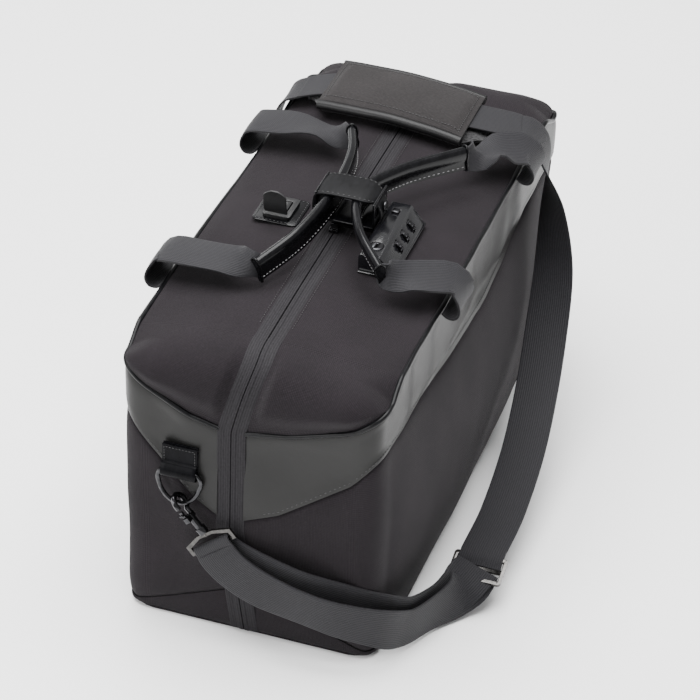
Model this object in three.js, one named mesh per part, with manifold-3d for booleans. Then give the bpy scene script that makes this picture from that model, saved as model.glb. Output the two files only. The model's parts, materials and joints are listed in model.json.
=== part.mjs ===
// Travel holdall: soft box body, two top flaps that part along a central zip, two webbing handles held by
// a wrap, zip lock, USB outlet, end D-rings and a padded shoulder strap.
// Millimetres, +Z up, +X along the length, front side at -Y, origin in the middle of the base.
import * as THREE from "three";
import { mergeVertices } from "three/addons/utils/BufferGeometryUtils.js";
import Module from "manifold-3d";

const wasm = await Module();
wasm.setup();

// Driving dimensions
const LENGTH = 500;
const WIDTH = 220;
const SEAM_Z = 257; // side seam of the top, where the flaps fold
const CROWN = 11; // height of the top's dome over the side seam
const CORNER_R = 25;
const WALL = 3;
const BULGE = 20; // how far the soft sides swell
const FLAP_HALF = 205; // half length of each opening flap
const PIPE_R = 2;
const SEAM_GAP = 3.2; // from a seam's line to the edge of the panels beside it
const ZIP_HALF = 11; // half width of the bare zip tape
const CLEAR = 0.4;
const ZIP_BOW = 14; // sideways lean of the zip on the near end
const WEB_W = 38;
const WEB_T = 2;
const HALF_X = LENGTH / 2;
const HALF_Y = WIDTH / 2;
const STRAIGHT_X = HALF_X - CORNER_R;
const STRAIGHT_Y = HALF_Y - CORNER_R;
const EDGE_Y = HALF_Y - 4; // outer edge of the flaps

const V = (x, y, z) => new THREE.Vector3(x, y, z);
const lerp = THREE.MathUtils.lerp;
const rad = THREE.MathUtils.degToRad;

// Materials
const finish = (color, roughness, metalness = 0) =>
  new THREE.MeshStandardMaterial({ color, roughness, metalness });
const FABRIC = finish(0x3d373c, 0.9);
const BAND = finish(0x4c4c49, 0.45);
const LEATHER = finish(0x0c0c0e, 0.25);
const WEBBING = finish(0x3c3b3f, 0.7);
const TAPE = finish(0x2a282b, 0.8);
const METAL = finish(0x3a3a3d, 0.3, 0.9);
const PLASTIC = finish(0x0d0d0f, 0.2);
const RUBBER = finish(0x161618, 0.7);
const LINING = finish(0x55535a, 0.9);
const BOARD = finish(0x222222, 0.8);

// ---------------------------------------------------------------- geometry helpers

// Piecewise straight interpolation through [position, value] pairs.
function along(pairs, at) {
  let i = 1;
  while (i < pairs.length - 1 && at > pairs[i][0]) i++;
  const [a, b] = [pairs[i - 1], pairs[i]];
  const t = THREE.MathUtils.clamp((at - a[0]) / (b[0] - a[0]), 0, 1);
  return lerp(a[1], b[1], t);
}

function fromTriangles(points, index) {
  const g = new THREE.BufferGeometry().setFromPoints(points);
  let six = 0;
  for (let i = 0; i < index.length; i += 3) {
    const [a, b, c] = [points[index[i]], points[index[i + 1]], points[index[i + 2]]];
    six += a.dot(V(0, 0, 0).crossVectors(b, c));
  }
  if (six < 0) index.reverse();
  g.setIndex(index);
  return g;
}

// Closed solid between two matching grids of points: rows of an outer and an inner skin.
function skin(rows) {
  const n = rows[0].outer.length;
  const points = rows.flatMap((row) => [...row.outer, ...row.inner]);
  const at = (r, side, c) => (2 * r + side) * n + c;
  const index = [];
  const quad = (a, b, c, d) => index.push(a, b, c, a, c, d);
  const last = rows.length - 1;
  for (let r = 0; r < last; r++) {
    for (let c = 0; c < n - 1; c++) {
      quad(at(r, 0, c), at(r, 0, c + 1), at(r + 1, 0, c + 1), at(r + 1, 0, c));
      quad(at(r, 1, c), at(r + 1, 1, c), at(r + 1, 1, c + 1), at(r, 1, c + 1));
    }
    quad(at(r, 0, 0), at(r + 1, 0, 0), at(r + 1, 1, 0), at(r, 1, 0));
    quad(at(r, 0, n - 1), at(r, 1, n - 1), at(r + 1, 1, n - 1), at(r + 1, 0, n - 1));
  }
  for (let c = 0; c < n - 1; c++) {
    quad(at(0, 0, c), at(0, 1, c), at(0, 1, c + 1), at(0, 0, c + 1));
    quad(at(last, 0, c), at(last, 0, c + 1), at(last, 1, c + 1), at(last, 1, c));
  }
  return fromTriangles(points, index);
}

// Round bar along a curve; a closed one is a ring.
function bar(points, radius, { closed = false, steps = 24, sides = 8, tension = 0.5 } = {}) {
  const curve = new THREE.CatmullRomCurve3(points, closed, "catmullrom", tension);
  const { normals, binormals } = curve.computeFrenetFrames(steps, closed);
  const rings = closed ? steps : steps + 1;
  const all = [];
  const index = [];
  for (let i = 0; i < rings; i++) {
    const centre = curve.getPointAt(i / steps);
    for (let j = 0; j < sides; j++) {
      const a = (2 * Math.PI * j) / sides;
      all.push(
        centre
          .clone()
          .addScaledVector(normals[i], radius * Math.cos(a))
          .addScaledVector(binormals[i], radius * Math.sin(a)),
      );
    }
  }
  for (let i = 0; i < steps; i++) {
    const next = (i + 1) % rings;
    for (let j = 0; j < sides; j++) {
      const k = (j + 1) % sides;
      const [a, b, c, d] = [i * sides + j, i * sides + k, next * sides + k, next * sides + j];
      index.push(a, b, c, a, c, d);
    }
  }
  if (!closed) {
    for (let j = 1; j < sides - 1; j++) {
      const end = (rings - 1) * sides;
      index.push(0, j + 1, j, end, end + j, end + j + 1);
    }
  }
  return fromTriangles(all, index);
}

// Flat band through stations [centre, direction across, width share], smoothly joined.
function ribbon(stations, width, thickness, steps = 6) {
  const centres = new THREE.CatmullRomCurve3(stations.map((s) => s[0]), false, "centripetal");
  const total = (stations.length - 1) * steps;
  const rows = [];
  for (let i = 0; i <= total; i++) {
    const t = i / total;
    const k = Math.min(Math.floor(t * (stations.length - 1)), stations.length - 2);
    const part = t * (stations.length - 1) - k;
    const p = centres.getPoint(t);
    const go = centres.getTangent(t);
    const across = stations[k][1].clone().lerp(stations[k + 1][1], part);
    across.addScaledVector(go, -across.dot(go)).normalize();
    const up = V(0, 0, 0).crossVectors(go, across);
    const half = (width / 2) * lerp(stations[k][2] ?? 1, stations[k + 1][2] ?? 1, part);
    const edge = (w, h) =>
      p.clone().addScaledVector(across, w * half).addScaledVector(up, (h * thickness) / 2);
    rows.push({ outer: [edge(-1, 1), edge(1, 1)], inner: [edge(-1, -1), edge(1, -1)] });
  }
  return skin(rows);
}

function solid(geometry) {
  const g = new THREE.BufferGeometry().setAttribute("position", geometry.getAttribute("position").clone());
  if (geometry.index) g.setIndex(geometry.index.clone());
  const merged = mergeVertices(g, 1e-3);
  return new wasm.Manifold(
    new wasm.Mesh({
      numProp: 3,
      vertProperties: new Float32Array(merged.getAttribute("position").array),
      triVerts: new Uint32Array(merged.index.array),
    }),
  );
}

function geometryOf(made) {
  const { vertProperties, triVerts } = made.getMesh();
  return new THREE.BufferGeometry()
    .setAttribute("position", new THREE.BufferAttribute(new Float32Array(vertProperties), 3))
    .setIndex(new THREE.BufferAttribute(new Uint32Array(triVerts), 1));
}

const join = (...parts) => geometryOf(parts.map(solid).reduce((a, b) => a.add(b)));
const cut = (from, ...tools) => geometryOf([from, ...tools].map(solid).reduce((a, b) => a.subtract(b)));

const box = (x0, x1, y0, y1, z0, z1) =>
  new THREE.BoxGeometry(x1 - x0, y1 - y0, z1 - z0).translate((x0 + x1) / 2, (y0 + y1) / 2, (z0 + z1) / 2);

// Cylinder whose axis runs along "x", "y" or "z".
function rod(axis, radius, length, at, sides = 16) {
  const g = new THREE.CylinderGeometry(radius, radius, length, sides);
  if (axis === "x") g.rotateZ(Math.PI / 2);
  if (axis === "z") g.rotateX(Math.PI / 2);
  return g.translate(at.x, at.y, at.z);
}

function roundedRect(halfW, halfH, r) {
  const s = new THREE.Shape();
  s.absarc(halfW - r, halfH - r, r, 0, Math.PI / 2);
  s.absarc(r - halfW, halfH - r, r, Math.PI / 2, Math.PI);
  s.absarc(r - halfW, r - halfH, r, Math.PI, 1.5 * Math.PI);
  s.absarc(halfW - r, r - halfH, r, 1.5 * Math.PI, 2 * Math.PI);
  return s;
}

const slab = (shape, depth, z, segments = 5) => {
  const options = { depth, bevelEnabled: false, curveSegments: segments };
  return new THREE.ExtrudeGeometry(shape, options).translate(0, 0, z);
};

function frameOf(outer, inner, depth, z) {
  outer.holes.push(inner);
  return slab(outer, depth, z);
}

const object = new THREE.Group();
function add(name, geometry, material, parent = object) {
  const mesh = new THREE.Mesh(geometry, material);
  mesh.name = name;
  parent.add(mesh);
  return mesh;
}

// ---------------------------------------------------------------- body surfaces

// Plan outline of one half, from the zip on the near end round to the zip on the far end.
function outline(side) {
  const list = [];
  const put = (x, y, nx, ny) => list.push({ x, y: side * y, nx, ny: side * ny });
  const endYs = [ZIP_HALF + CLEAR, 36, 60, STRAIGHT_Y];
  endYs.forEach((y) => put(-HALF_X, y, -1, 0));
  for (const a of [67, 45, 22, 0].map(rad)) {
    const [c, s] = [Math.sin(a), Math.cos(a)];
    put(-STRAIGHT_X - CORNER_R * c, STRAIGHT_Y + CORNER_R * s, -c, s);
  }
  for (const x of [-FLAP_HALF, -150, -75, 0, 75, 150, FLAP_HALF]) put(x, HALF_Y, 0, 1);
  for (const a of [0, 22, 45, 67].map(rad)) {
    const [c, s] = [Math.sin(a), Math.cos(a)];
    put(STRAIGHT_X + CORNER_R * c, STRAIGHT_Y + CORNER_R * s, c, s);
  }
  endYs.reverse().forEach((y) => put(HALF_X, y, 1, 0));
  return list;
}

const onEnd = (p) => Math.abs(p.x) > STRAIGHT_X;
const upperSeam = (p) =>
  onEnd(p)
    ? along([[0, 203], [43, 212], [STRAIGHT_Y, 229], [HALF_Y, 247]], Math.abs(p.y))
    : along([[FLAP_HALF, SEAM_Z], [STRAIGHT_X, 247]], Math.abs(p.x));
const lowerSeam = (p) =>
  onEnd(p)
    ? along([[0, 115], [36, 134], [STRAIGHT_Y, 176], [HALF_Y, 205]], Math.abs(p.y))
    : along([[0, 191], [STRAIGHT_X, 205]], Math.abs(p.x));
const baseSeam = (p) => (onEnd(p) ? along([[0, 45], [100, 6]], Math.abs(p.y)) : 6);

// How far the fabric swells at a height, most at the middle of a long side.
function swell(p, z) {
  const middle = onEnd(p) ? 0.2 * (1 - Math.abs(p.y) / HALF_Y) : 1 - (p.x / STRAIGHT_X) ** 4;
  return BULGE * middle * Math.sin(Math.PI * Math.min(1, z / 200)) ** 0.8;
}

// Sideways lean of the near end's pieces, full at the zip and none at the corners.
function lean(y, z) {
  const share = along([[ZIP_HALF + CLEAR, 1], [STRAIGHT_Y, 0]], Math.abs(y));
  return ZIP_BOW * share * along([[0, 0.2], [110, 1], [205, 1], [262, 0]], z);
}

function wallPoint(p, z, depth) {
  const out = swell(p, z) - depth;
  const shift = p.x <= -HALF_X ? lean(p.y, z) : 0;
  return V(p.x + p.nx * out, p.y + p.ny * out + shift, z);
}

// Wall panel of one half between two seams.
function panel(side, low, high, levels) {
  return skin(
    outline(side).map((p) => {
      const zs = Array.from({ length: levels + 1 }, (_, i) => lerp(low(p), high(p), i / levels));
      return {
        outer: zs.map((z) => wallPoint(p, z, 0)),
        inner: zs.map((z) => wallPoint(p, z, WALL)),
      };
    }),
  );
}

const topZ = (x, y) => SEAM_Z + 2 + CROWN * (1 - (y / HALF_Y) ** 2) - 2 * (x / FLAP_HALF) ** 4;

// Profile of a dipped end of the top: from the flap's edge over the rounded shoulder to the piping.
function shoulder(end, y, depth) {
  const ay = Math.abs(y);
  const over = Math.max(0, ay - STRAIGHT_Y);
  const reach = STRAIGHT_X + Math.sqrt(CORNER_R ** 2 - over ** 2) - depth;
  const foot = upperSeam({ x: end * HALF_X, y }) + SEAM_GAP;
  const top = topZ(FLAP_HALF, y) - depth;
  const start = FLAP_HALF + CLEAR;
  const rise = Math.max(top - foot, 2);
  return Array.from({ length: 7 }, (_, i) => {
    const a = (i / 6) * (Math.PI / 2);
    const z = foot + rise * Math.cos(a) ** 0.8;
    return V(end * (start + (reach - start) * Math.sin(a) ** 0.8), y + (end < 0 ? lean(y, z) : 0), z);
  });
}

function skirt(end, side) {
  const ys = [ZIP_HALF + CLEAR, 36, 60, STRAIGHT_Y, 95, 102, EDGE_Y].map((y) => side * y);
  return skin(ys.map((y) => ({ outer: shoulder(end, y, 0), inner: shoulder(end, y, WALL) })));
}

function flap(side) {
  const xs = [-FLAP_HALF, -150, -75, 0, 75, 150, FLAP_HALF];
  const ys = [ZIP_HALF + CLEAR, 35, 60, 85, EDGE_Y].map((y) => side * y);
  const row = (x, depth) => ys.map((y) => V(x, y, topZ(x, y) - depth));
  return skin(xs.map((x) => ({ outer: row(x, 0), inner: row(x, WALL) })));
}

// ---------------------------------------------------------------- body

function basePanel() {
  const plate = slab(roundedRect(HALF_X, HALF_Y, CORNER_R), 2.5, 0);
  const hem = (side) => panel(side, () => 0.5, (p) => baseSeam(p) - 0.3, 2);
  return join(plate, hem(-1), hem(1));
}

function liningTub() {
  const [hx, hy, floor, rim] = [HALF_X - 6, HALF_Y - 6, 7.5, 190];
  const outer = slab(roundedRect(hx, hy, CORNER_R - 6), rim - floor, floor);
  const inner = slab(roundedRect(hx - 1, hy - 1, CORNER_R - 7), rim - floor, floor + 1);
  return cut(outer, inner);
}

function pipe(side) {
  const points = outline(side).map((p) => wallPoint(p, upperSeam(p), PIPE_R / 2));
  points[0].y += 1.5 * side;
  points.at(-1).y += 1.5 * side;
  return bar(points, PIPE_R, { steps: 64, sides: 8, tension: 0.3 });
}

// Zip tape on the end: over the shoulder and down the face to the base.
function endTape(end) {
  const profile = (depth) => {
    const over = shoulder(end, 0, depth);
    const zs = [180, 150, 110, 70, 35, 4];
    const face = zs.map((z) => V(end * (HALF_X + swell({ x: end * HALF_X, y: 0 }, z) - depth), 0, z));
    return [...over, ...face];
  };
  const across = [-ZIP_HALF, -2.5, -2, 2, 2.5, ZIP_HALF];
  const depthAt = (y) => (Math.abs(y) < 2.2 ? -0.8 : 0.6);
  const line = (y, depth) =>
    profile(depth).map((p) => V(p.x, y + (end < 0 ? lean(0, p.z) : 0), p.z));
  return skin(across.map((y) => ({ outer: line(y, depthAt(y)), inner: line(y, 2) })));
}

function topTape(side) {
  const xs = [-FLAP_HALF, -150, -75, 0, 75, 150, FLAP_HALF];
  const steps = [[0.3, -0.9], [2, -0.9], [2.3, 0.6], [ZIP_HALF, 0.6]];
  const row = (x, under) => steps.map(([y, d]) => V(x, side * y, topZ(x, y) - (under ? 2 : d)));
  return skin(xs.map((x) => ({ outer: row(x, false), inner: row(x, true) })));
}

add("base_panel", basePanel(), FABRIC);
add("base_board", slab(roundedRect(HALF_X - 8, HALF_Y - 8, 17), 3, 3), BOARD);
add("lining", liningTub(), LINING);
for (const [word, side] of [["front", -1], ["rear", 1]]) {
  add("shell_" + word, panel(side, (p) => baseSeam(p) + 0.3, (p) => lowerSeam(p) - 0.3, 5), FABRIC);
  add("band_" + word, panel(side, (p) => lowerSeam(p) + 0.3, (p) => upperSeam(p) - SEAM_GAP, 2), BAND);
  add("piping_" + word, pipe(side), LEATHER);
  add("top_" + word, flap(side), FABRIC);
  add("zip_tape_" + word, topTape(side), TAPE);
  add("skirt_near_" + word, skirt(-1, side), FABRIC);
  add("skirt_far_" + word, skirt(1, side), FABRIC);
}
add("zip_end_near", endTape(-1), TAPE);
add("zip_end_far", endTape(1), TAPE);

// ---------------------------------------------------------------- zip sliders and pullers

const SLIDER_Z = topZ(0, 0) + 1.2;
const SLIDERS = { near: -44, far: -16 };
const PULLER_PIN_Z = SLIDER_Z + 6;
const LOCK = { x0: -94, x1: -10, y0: -66, y1: -36 };

function slider(x) {
  const body = box(x - 7, x + 7, -4, 4, SLIDER_Z, SLIDER_Z + 3);
  const post = (at) => box(at - 1, at + 1, -3, 3, SLIDER_Z + 2.5, PULLER_PIN_Z + 2);
  const pin = rod("x", 1, 9, V(x, 0, PULLER_PIN_Z));
  return join(body, post(x - 4), post(x + 4), pin);
}

function puller(x) {
  const eye = rod("x", 2.4, 4.6, V(x, 0, PULLER_PIN_Z));
  const blade = box(x - 2.3, x + 2.3, LOCK.y1 + CLEAR + 0.2, -1.5, PULLER_PIN_Z - 0.9, PULLER_PIN_Z + 0.9);
  return cut(join(eye, blade), rod("x", 1.25, 8, V(x, 0, PULLER_PIN_Z)));
}

for (const [word, x] of Object.entries(SLIDERS)) {
  add("slider_" + word, slider(x), METAL);
  add("puller_" + word, puller(x), METAL);
}

// ---------------------------------------------------------------- lock

const LOCK_FLOOR = topZ(-50, LOCK.y1) + 0.5;
const LOCK_MID_X = (LOCK.x0 + LOCK.x1) / 2;
const DIAL = { r: 6.2, w: 5, y: LOCK.y0 + 8.4, z: LOCK_FLOOR + 7.8 };
const DIAL_XS = [-26, 0, 26].map((d) => LOCK_MID_X + d * 0.62 + 6);
const KEY = { x: LOCK.x0 + 16, y: LOCK.y1 - 10, r: 6 };
const BUTTON = { x: LOCK.x1 - 14, y: LOCK.y1 - 9, half: 3 };
const LOCK_H = 17;

// Wedge section, tall on the zip side and falling to a slanted dial face.
function lockShell() {
  const s = new THREE.Shape();
  s.moveTo(LOCK.y0, 2);
  s.lineTo(LOCK.y0 + 9, 14);
  s.lineTo(LOCK.y0 + 12, LOCK_H);
  s.lineTo(LOCK.y1 - 1.5, LOCK_H);
  s.lineTo(LOCK.y1, LOCK_H - 2);
  s.lineTo(LOCK.y1, 2);
  const g = new THREE.ExtrudeGeometry(s, { depth: LOCK.x1 - LOCK.x0, bevelEnabled: false });
  g.applyMatrix4(new THREE.Matrix4().makeBasis(V(0, 1, 0), V(0, 0, 1), V(1, 0, 0)));
  return g.translate(LOCK.x0, 0, LOCK_FLOOR);
}

function lockCover() {
  const top = LOCK_FLOOR + LOCK_H;
  const dialRoom = DIAL_XS.map((x) => rod("x", DIAL.r + 0.5, DIAL.w + 1, V(x, DIAL.y, DIAL.z), 20));
  const keyRoom = rod("z", KEY.r + 0.3, 12, V(KEY.x, KEY.y, top - 3), 20);
  const b = BUTTON.half + 0.4;
  const buttonRoom = box(BUTTON.x - b, BUTTON.x + b, BUTTON.y - b, BUTTON.y + b, top - 8, top + 2);
  const slots = Object.values(SLIDERS).map((x) =>
    box(x - 3.2, x + 3.2, LOCK.y1 - 7, LOCK.y1 + 1, PULLER_PIN_Z - 2, PULLER_PIN_Z + 2),
  );
  return cut(lockShell(), ...dialRoom, keyRoom, buttonRoom, ...slots);
}

function dial(x) {
  const ridge = (i) => {
    const a = (2 * Math.PI * i) / 10;
    const reach = DIAL.r - 0.8;
    return rod("x", 0.8, DIAL.w, V(x, DIAL.y + reach * Math.cos(a), DIAL.z + reach * Math.sin(a)), 6);
  };
  const ridges = Array.from({ length: 10 }, (_, i) => ridge(i));
  return join(rod("x", DIAL.r - 0.7, DIAL.w, V(x, DIAL.y, DIAL.z), 20), ...ridges);
}

function keyCore() {
  const top = LOCK_FLOOR + LOCK_H;
  const way = box(KEY.x - 3.2, KEY.x + 3.2, KEY.y - 0.6, KEY.y + 0.6, top - 3, top + 2);
  return cut(rod("z", KEY.r, 8.2, V(KEY.x, KEY.y, top - 3.6), 20), way);
}

add("lock_base", box(LOCK.x0 - 2, LOCK.x1 + 2, LOCK.y0 - 1, LOCK.y1, LOCK_FLOOR, LOCK_FLOOR + 1.6), PLASTIC);
add("lock_cover", lockCover(), PLASTIC);
DIAL_XS.forEach((x, i) => add("lock_dial_" + (i + 1), dial(x), METAL));
add("lock_key_core", keyCore(), METAL);
add(
  "lock_button",
  box(
    BUTTON.x - BUTTON.half, BUTTON.x + BUTTON.half, BUTTON.y - BUTTON.half, BUTTON.y + BUTTON.half,
    LOCK_FLOOR + LOCK_H - 5, LOCK_FLOOR + LOCK_H + 1.6,
  ),
  METAL,
);

// ---------------------------------------------------------------- USB outlet

const USB = { x: -32.5, y: 52, half: 20 };
const USB_Z = topZ(USB.x, USB.y - USB.half) + 0.4;

function usbFrame() {
  const tray = frameOf(roundedRect(15, 12, 3), roundedRect(10, 7.5, 2), 3, 0);
  return tray.translate(USB.x, USB.y, USB_Z + 1.8);
}

function usbSocket() {
  const block = box(-9, 9, -6.5, 6.5, 0, 3.4);
  const mouth = box(-6.2, 6.2, -2.4, 2.4, 1, 5);
  return cut(block, mouth).translate(USB.x, USB.y, USB_Z + 1.8);
}

// The cover stands open on the frame's left edge, leaning a little past upright.
const USB_HINGE = { x: USB.x - 13, z: USB_Z + 6.2 };
function usbFlap() {
  const leaf = box(1.4, 25, -10, 10, -0.9, 0.9);
  const barrel = rod("y", 1.2, 18, V(0.6, 0, 0), 12);
  return join(leaf, barrel).rotateY(rad(-100)).translate(USB_HINGE.x, USB.y, USB_HINGE.z);
}

add("usb_patch", slab(roundedRect(USB.half, USB.half, 5), 1.5, USB_Z).translate(USB.x, USB.y, 0), LEATHER);
add("usb_frame", usbFrame(), PLASTIC);
add("usb_socket", usbSocket(), PLASTIC);
add("usb_flap", usbFlap(), RUBBER);

// ---------------------------------------------------------------- handles

const GRIP = { w: 19, t: 8 };
const HANDLES = {
  rear: {
    side: 1,
    grip: [V(-145, 32, 286), V(-100, 12, 294), V(-40, 3, 299), V(20, 8, 298), V(64, 22, 294)],
    tails: { near: -131, far: 88 },
  },
  front: {
    side: -1,
    grip: [V(-126, -66, 292), V(-84, -34, 298), V(-35, -19, 299), V(12, -38, 298), V(65, -78, 294)],
    tails: { near: -90, far: 125 },
  },
};

// Rolled leather grip: flat band standing on its stitched edge.
function grip(points) {
  const stations = points.map((p) => [p, V(0, 0.25, 1).normalize()]);
  return ribbon(stations, GRIP.w, GRIP.t, 5);
}

// Webbing from the side seam: out in a loop, back over the top and up to the end of the grip.
function tail(side, x, end, next, run) {
  const wide = V(1, 0, 0);
  const root = end.clone().addScaledVector(next.clone().sub(end).normalize(), -8);
  const stations = [
    [V(x, side * 113.5, SEAM_Z - 6), wide],
    [V(x, side * 128, SEAM_Z - 8), wide],
    [V(x, side * 137, SEAM_Z + 8), wide],
    [V(x + run * 2, side * 120, SEAM_Z + 21), wide],
    [V(lerp(x, end.x, 0.55), lerp(side * 110, end.y, 0.6), SEAM_Z + 28), wide, 0.9],
    [root, V(run * 0.2, 0.3, 1), 0.5],
  ];
  return ribbon(stations, WEB_W, WEB_T, 4);
}

for (const [word, h] of Object.entries(HANDLES)) {
  add("grip_" + word, grip(h.grip), LEATHER);
  add("tail_" + word + "_near", tail(h.side, h.tails.near, h.grip[0], h.grip[1], 1), WEBBING);
  add("tail_" + word + "_far", tail(h.side, h.tails.far, h.grip.at(-1), h.grip.at(-2), -1), WEBBING);
}

// Leather wrap round both grips: a saddle under and beside them, closed by a flap with a snap.
const WRAP = { x: -37, half: 17, y0: -36, y1: 16, z0: 284, z1: 313 };
function wrapSaddle() {
  const w = WRAP;
  const under = box(w.x - w.half, w.x + w.half, w.y0, w.y1, w.z0, w.z0 + 2);
  const back = box(w.x - w.half, w.x + w.half, w.y1 - 2, w.y1, w.z0, w.z1 - 3);
  const front = box(w.x - w.half, w.x + w.half, w.y0, w.y0 + 2, w.z0, w.z1 - 5);
  return join(under, back, front);
}
add("wrap_saddle", wrapSaddle(), LEATHER);
add(
  "wrap_flap",
  join(
    box(WRAP.x - WRAP.half, WRAP.x + WRAP.half, WRAP.y0 - 2.6, WRAP.y1, WRAP.z1 - 2, WRAP.z1),
    box(WRAP.x - 12, WRAP.x + 12, WRAP.y0 - 2.6, WRAP.y0 - 0.6, WRAP.z0 + 6, WRAP.z1 - 1),
  ),
  LEATHER,
);
add("wrap_snap", rod("y", 5, 2, V(WRAP.x, WRAP.y0 - 4, WRAP.z0 + 14), 16), METAL);

// ---------------------------------------------------------------- end hardware

const TAB = { y: 56, half: 15, z0: 160, z1: 182, t: 3 };
const RING_BAR_Z = 157;
const FACE = 2.4; // stand-off of the tab's back from the panel
const RING_X = 7.2; // from the end face to the D-ring's wire
const RING_R = 1.8;

// Drawn for the near end with the face at x = 0 and outwards at -x.
function tabShape() {
  const plate = box(-FACE - TAB.t, -FACE, -TAB.half, TAB.half, TAB.z0, TAB.z1);
  const roll = rod("y", 4.4, 2 * TAB.half - 4, V(-RING_X, 0, RING_BAR_Z), 20);
  const bridge = box(-FACE - TAB.t, -FACE, -TAB.half, TAB.half, RING_BAR_Z, TAB.z0 + 1);
  const bore = rod("y", RING_R + 0.9, 2 * TAB.half + 4, V(-RING_X, 0, RING_BAR_Z), 20);
  return cut(join(plate, bridge, roll), bore);
}

function ringShape() {
  const points = [];
  for (const y of [-17, -10, 0, 10, 17]) points.push(V(-RING_X, y, RING_BAR_Z));
  for (const a of [10, 40, 65, 90, 115, 140, 170].map(rad)) {
    const lean = 3 * Math.sin(a);
    points.push(V(-RING_X - lean, 18.5 * Math.cos(a), RING_BAR_Z - 5 - 23 * Math.sin(a)));
  }
  return bar(points, RING_R, { closed: true, steps: 44, sides: 8 });
}

const HOOK = { eye: 7.6, wire: 2.3, tilt: 39 };
const LOOP_BAR_Z = -44.5; // strap bar of the swivel loop, below the eye's centre

// Trigger hook drawn upright round its eye's centre, its plane across the ring's wire.
function hookShape() {
  const arc = [];
  for (let a = -70; a <= 195; a += 26.5) {
    arc.push(V(HOOK.eye * Math.cos(rad(a)) * 0.9, 0, HOOK.eye * Math.sin(rad(a)) + 1));
  }
  const hook = bar([V(1, 0, -14), V(2.6, 0, -10), ...arc], HOOK.wire, { steps: 26, sides: 8 });
  const heel = box(-8, 4, -2.2, 2.2, -15, -10.4);
  const neck = rod("z", 3.2, 15, V(0, 0, -18.5), 12);
  const barrel = rod("z", 4.4, 6, V(0, 0, -28), 16);
  const bore = rod("z", 2.2, 10, V(0, 0, -31.5), 12);
  return cut(join(hook, heel, neck, barrel), bore);
}

function gateShape() {
  const leaf = box(-8, -5.6, -1.6, 1.6, -9.4, -3.7);
  const thumb = box(-10, -6.6, -1.6, 1.6, -7.4, -5.6);
  return join(leaf, thumb);
}

// Swivel pin and flat loop that holds the strap.
function loopShape() {
  const pin = rod("z", 1.8, 8, V(0, 0, -30.5), 12);
  const hexagon = (halfBar, barZ, kneeZ, halfTop, topZ) =>
    [
      [-halfBar, barZ], [halfBar, barZ], [halfBar, kneeZ],
      [halfTop, topZ], [-halfTop, topZ], [-halfBar, kneeZ],
    ].map(([y, z]) => new THREE.Vector2(y, z));
  const outer = new THREE.Shape(hexagon(24, LOOP_BAR_Z - 1.5, -36.5, 8, -31.5));
  const inner = new THREE.Path(hexagon(20.5, LOOP_BAR_Z + 1.5, -39, 7, -34.3));
  const plate = frameOf(outer, inner, 2.4, -1.2);
  plate.applyMatrix4(new THREE.Matrix4().makeBasis(V(0, 1, 0), V(0, 0, 1), V(1, 0, 0)));
  return join(pin, plate);
}

// Place of the hook on each end: its eye's centre, tilted so that the strap leads away to one side.
function snapPlace(word) {
  const turn = word === "near" ? 0 : Math.PI;
  const end = new THREE.Matrix4().makeRotationZ(turn).setPosition(turn ? HALF_X : -HALF_X, TAB.y, 0);
  const tilt = new THREE.Matrix4().makeRotationX(rad(-HOOK.tilt));
  return end.multiply(tilt.setPosition(-RING_X - 4.9, -3, RING_BAR_Z - 27));
}

for (const [word, turn] of [["near", 0], ["far", Math.PI]]) {
  const end = new THREE.Group();
  end.rotation.z = turn;
  end.position.set(turn ? HALF_X : -HALF_X, TAB.y, 0);
  object.add(end);
  add("tab_" + word, tabShape(), LEATHER, end);
  add("dring_" + word, ringShape(), METAL, end);
  const snap = new THREE.Group();
  snapPlace(word).decompose(snap.position, snap.quaternion, snap.scale);
  object.add(snap);
  add("hook_" + word, hookShape(), METAL, snap);
  add("gate_" + word, gateShape(), METAL, snap);
  add("loop_" + word, loopShape(), METAL, snap);
}

// ---------------------------------------------------------------- shoulder strap

const ADJUST = V(-140, -163, 30);
const ALONG = V(0.95, 0, 0.3).normalize();

// Each station is a point of the centre line and the direction across the webbing.
const FOLD = [
  [V(-266.3, 25, 94.6), V(0, -0.78, 0.63)],
  [V(-271, -14, 75), V(0, -0.5, 0.85)],
  [V(-268, -49, 63), V(-0.15, 0, 1)],
  [V(-265, -81, 54), V(-0.1, 0, 1)],
  [V(-251, -113, 42), V(0, -0.1, 1)],
  [V(-227, -130, 26), V(0, -0.2, 1)],
  [V(-196, -144, 21.5), V(0, 0, 1)],
  [V(-173, -154, 21.5), V(-0.1, 0.4, 1)],
  [V(-157, -161, 25), V(-0.2, 0.9, 0.5)],
];
const FRONT_RUN = [
  [V(-124, -163, 35.5), V(0, 1, 0)],
  [V(-75, -165, 41), V(0, 1, 0)],
  [V(-10, -163, 57), V(0, 1, 0)],
  [V(49, -157, 80), V(0, 1, 0)],
  [V(94, -151, 112), V(0, 1, 0)],
  [V(130, -145, 155), V(0.3, 1, 0)],
  [V(154, -134, 205), V(1, 1, 0)],
  [V(166, -122, 246), V(1, 0.1, 0)],
];
const TOP_RUN = [
  [V(167, -116, 260), V(1, 0, 0)],
  [V(166, -106, 269), V(1, 0, 0)],
  [V(160, -84, 273), V(1, 0, 0)],
  [V(148, -40, 279), V(1, 0, 0)],
  [V(145, 10, 281), V(1, 0, 0)],
  [V(147, 60, 278.4), V(1, 0, 0)],
  [V(150, 92, 275), V(1, 0, 0)],
  [V(151, 112, 266), V(1, 0, 0)],
];
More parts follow.
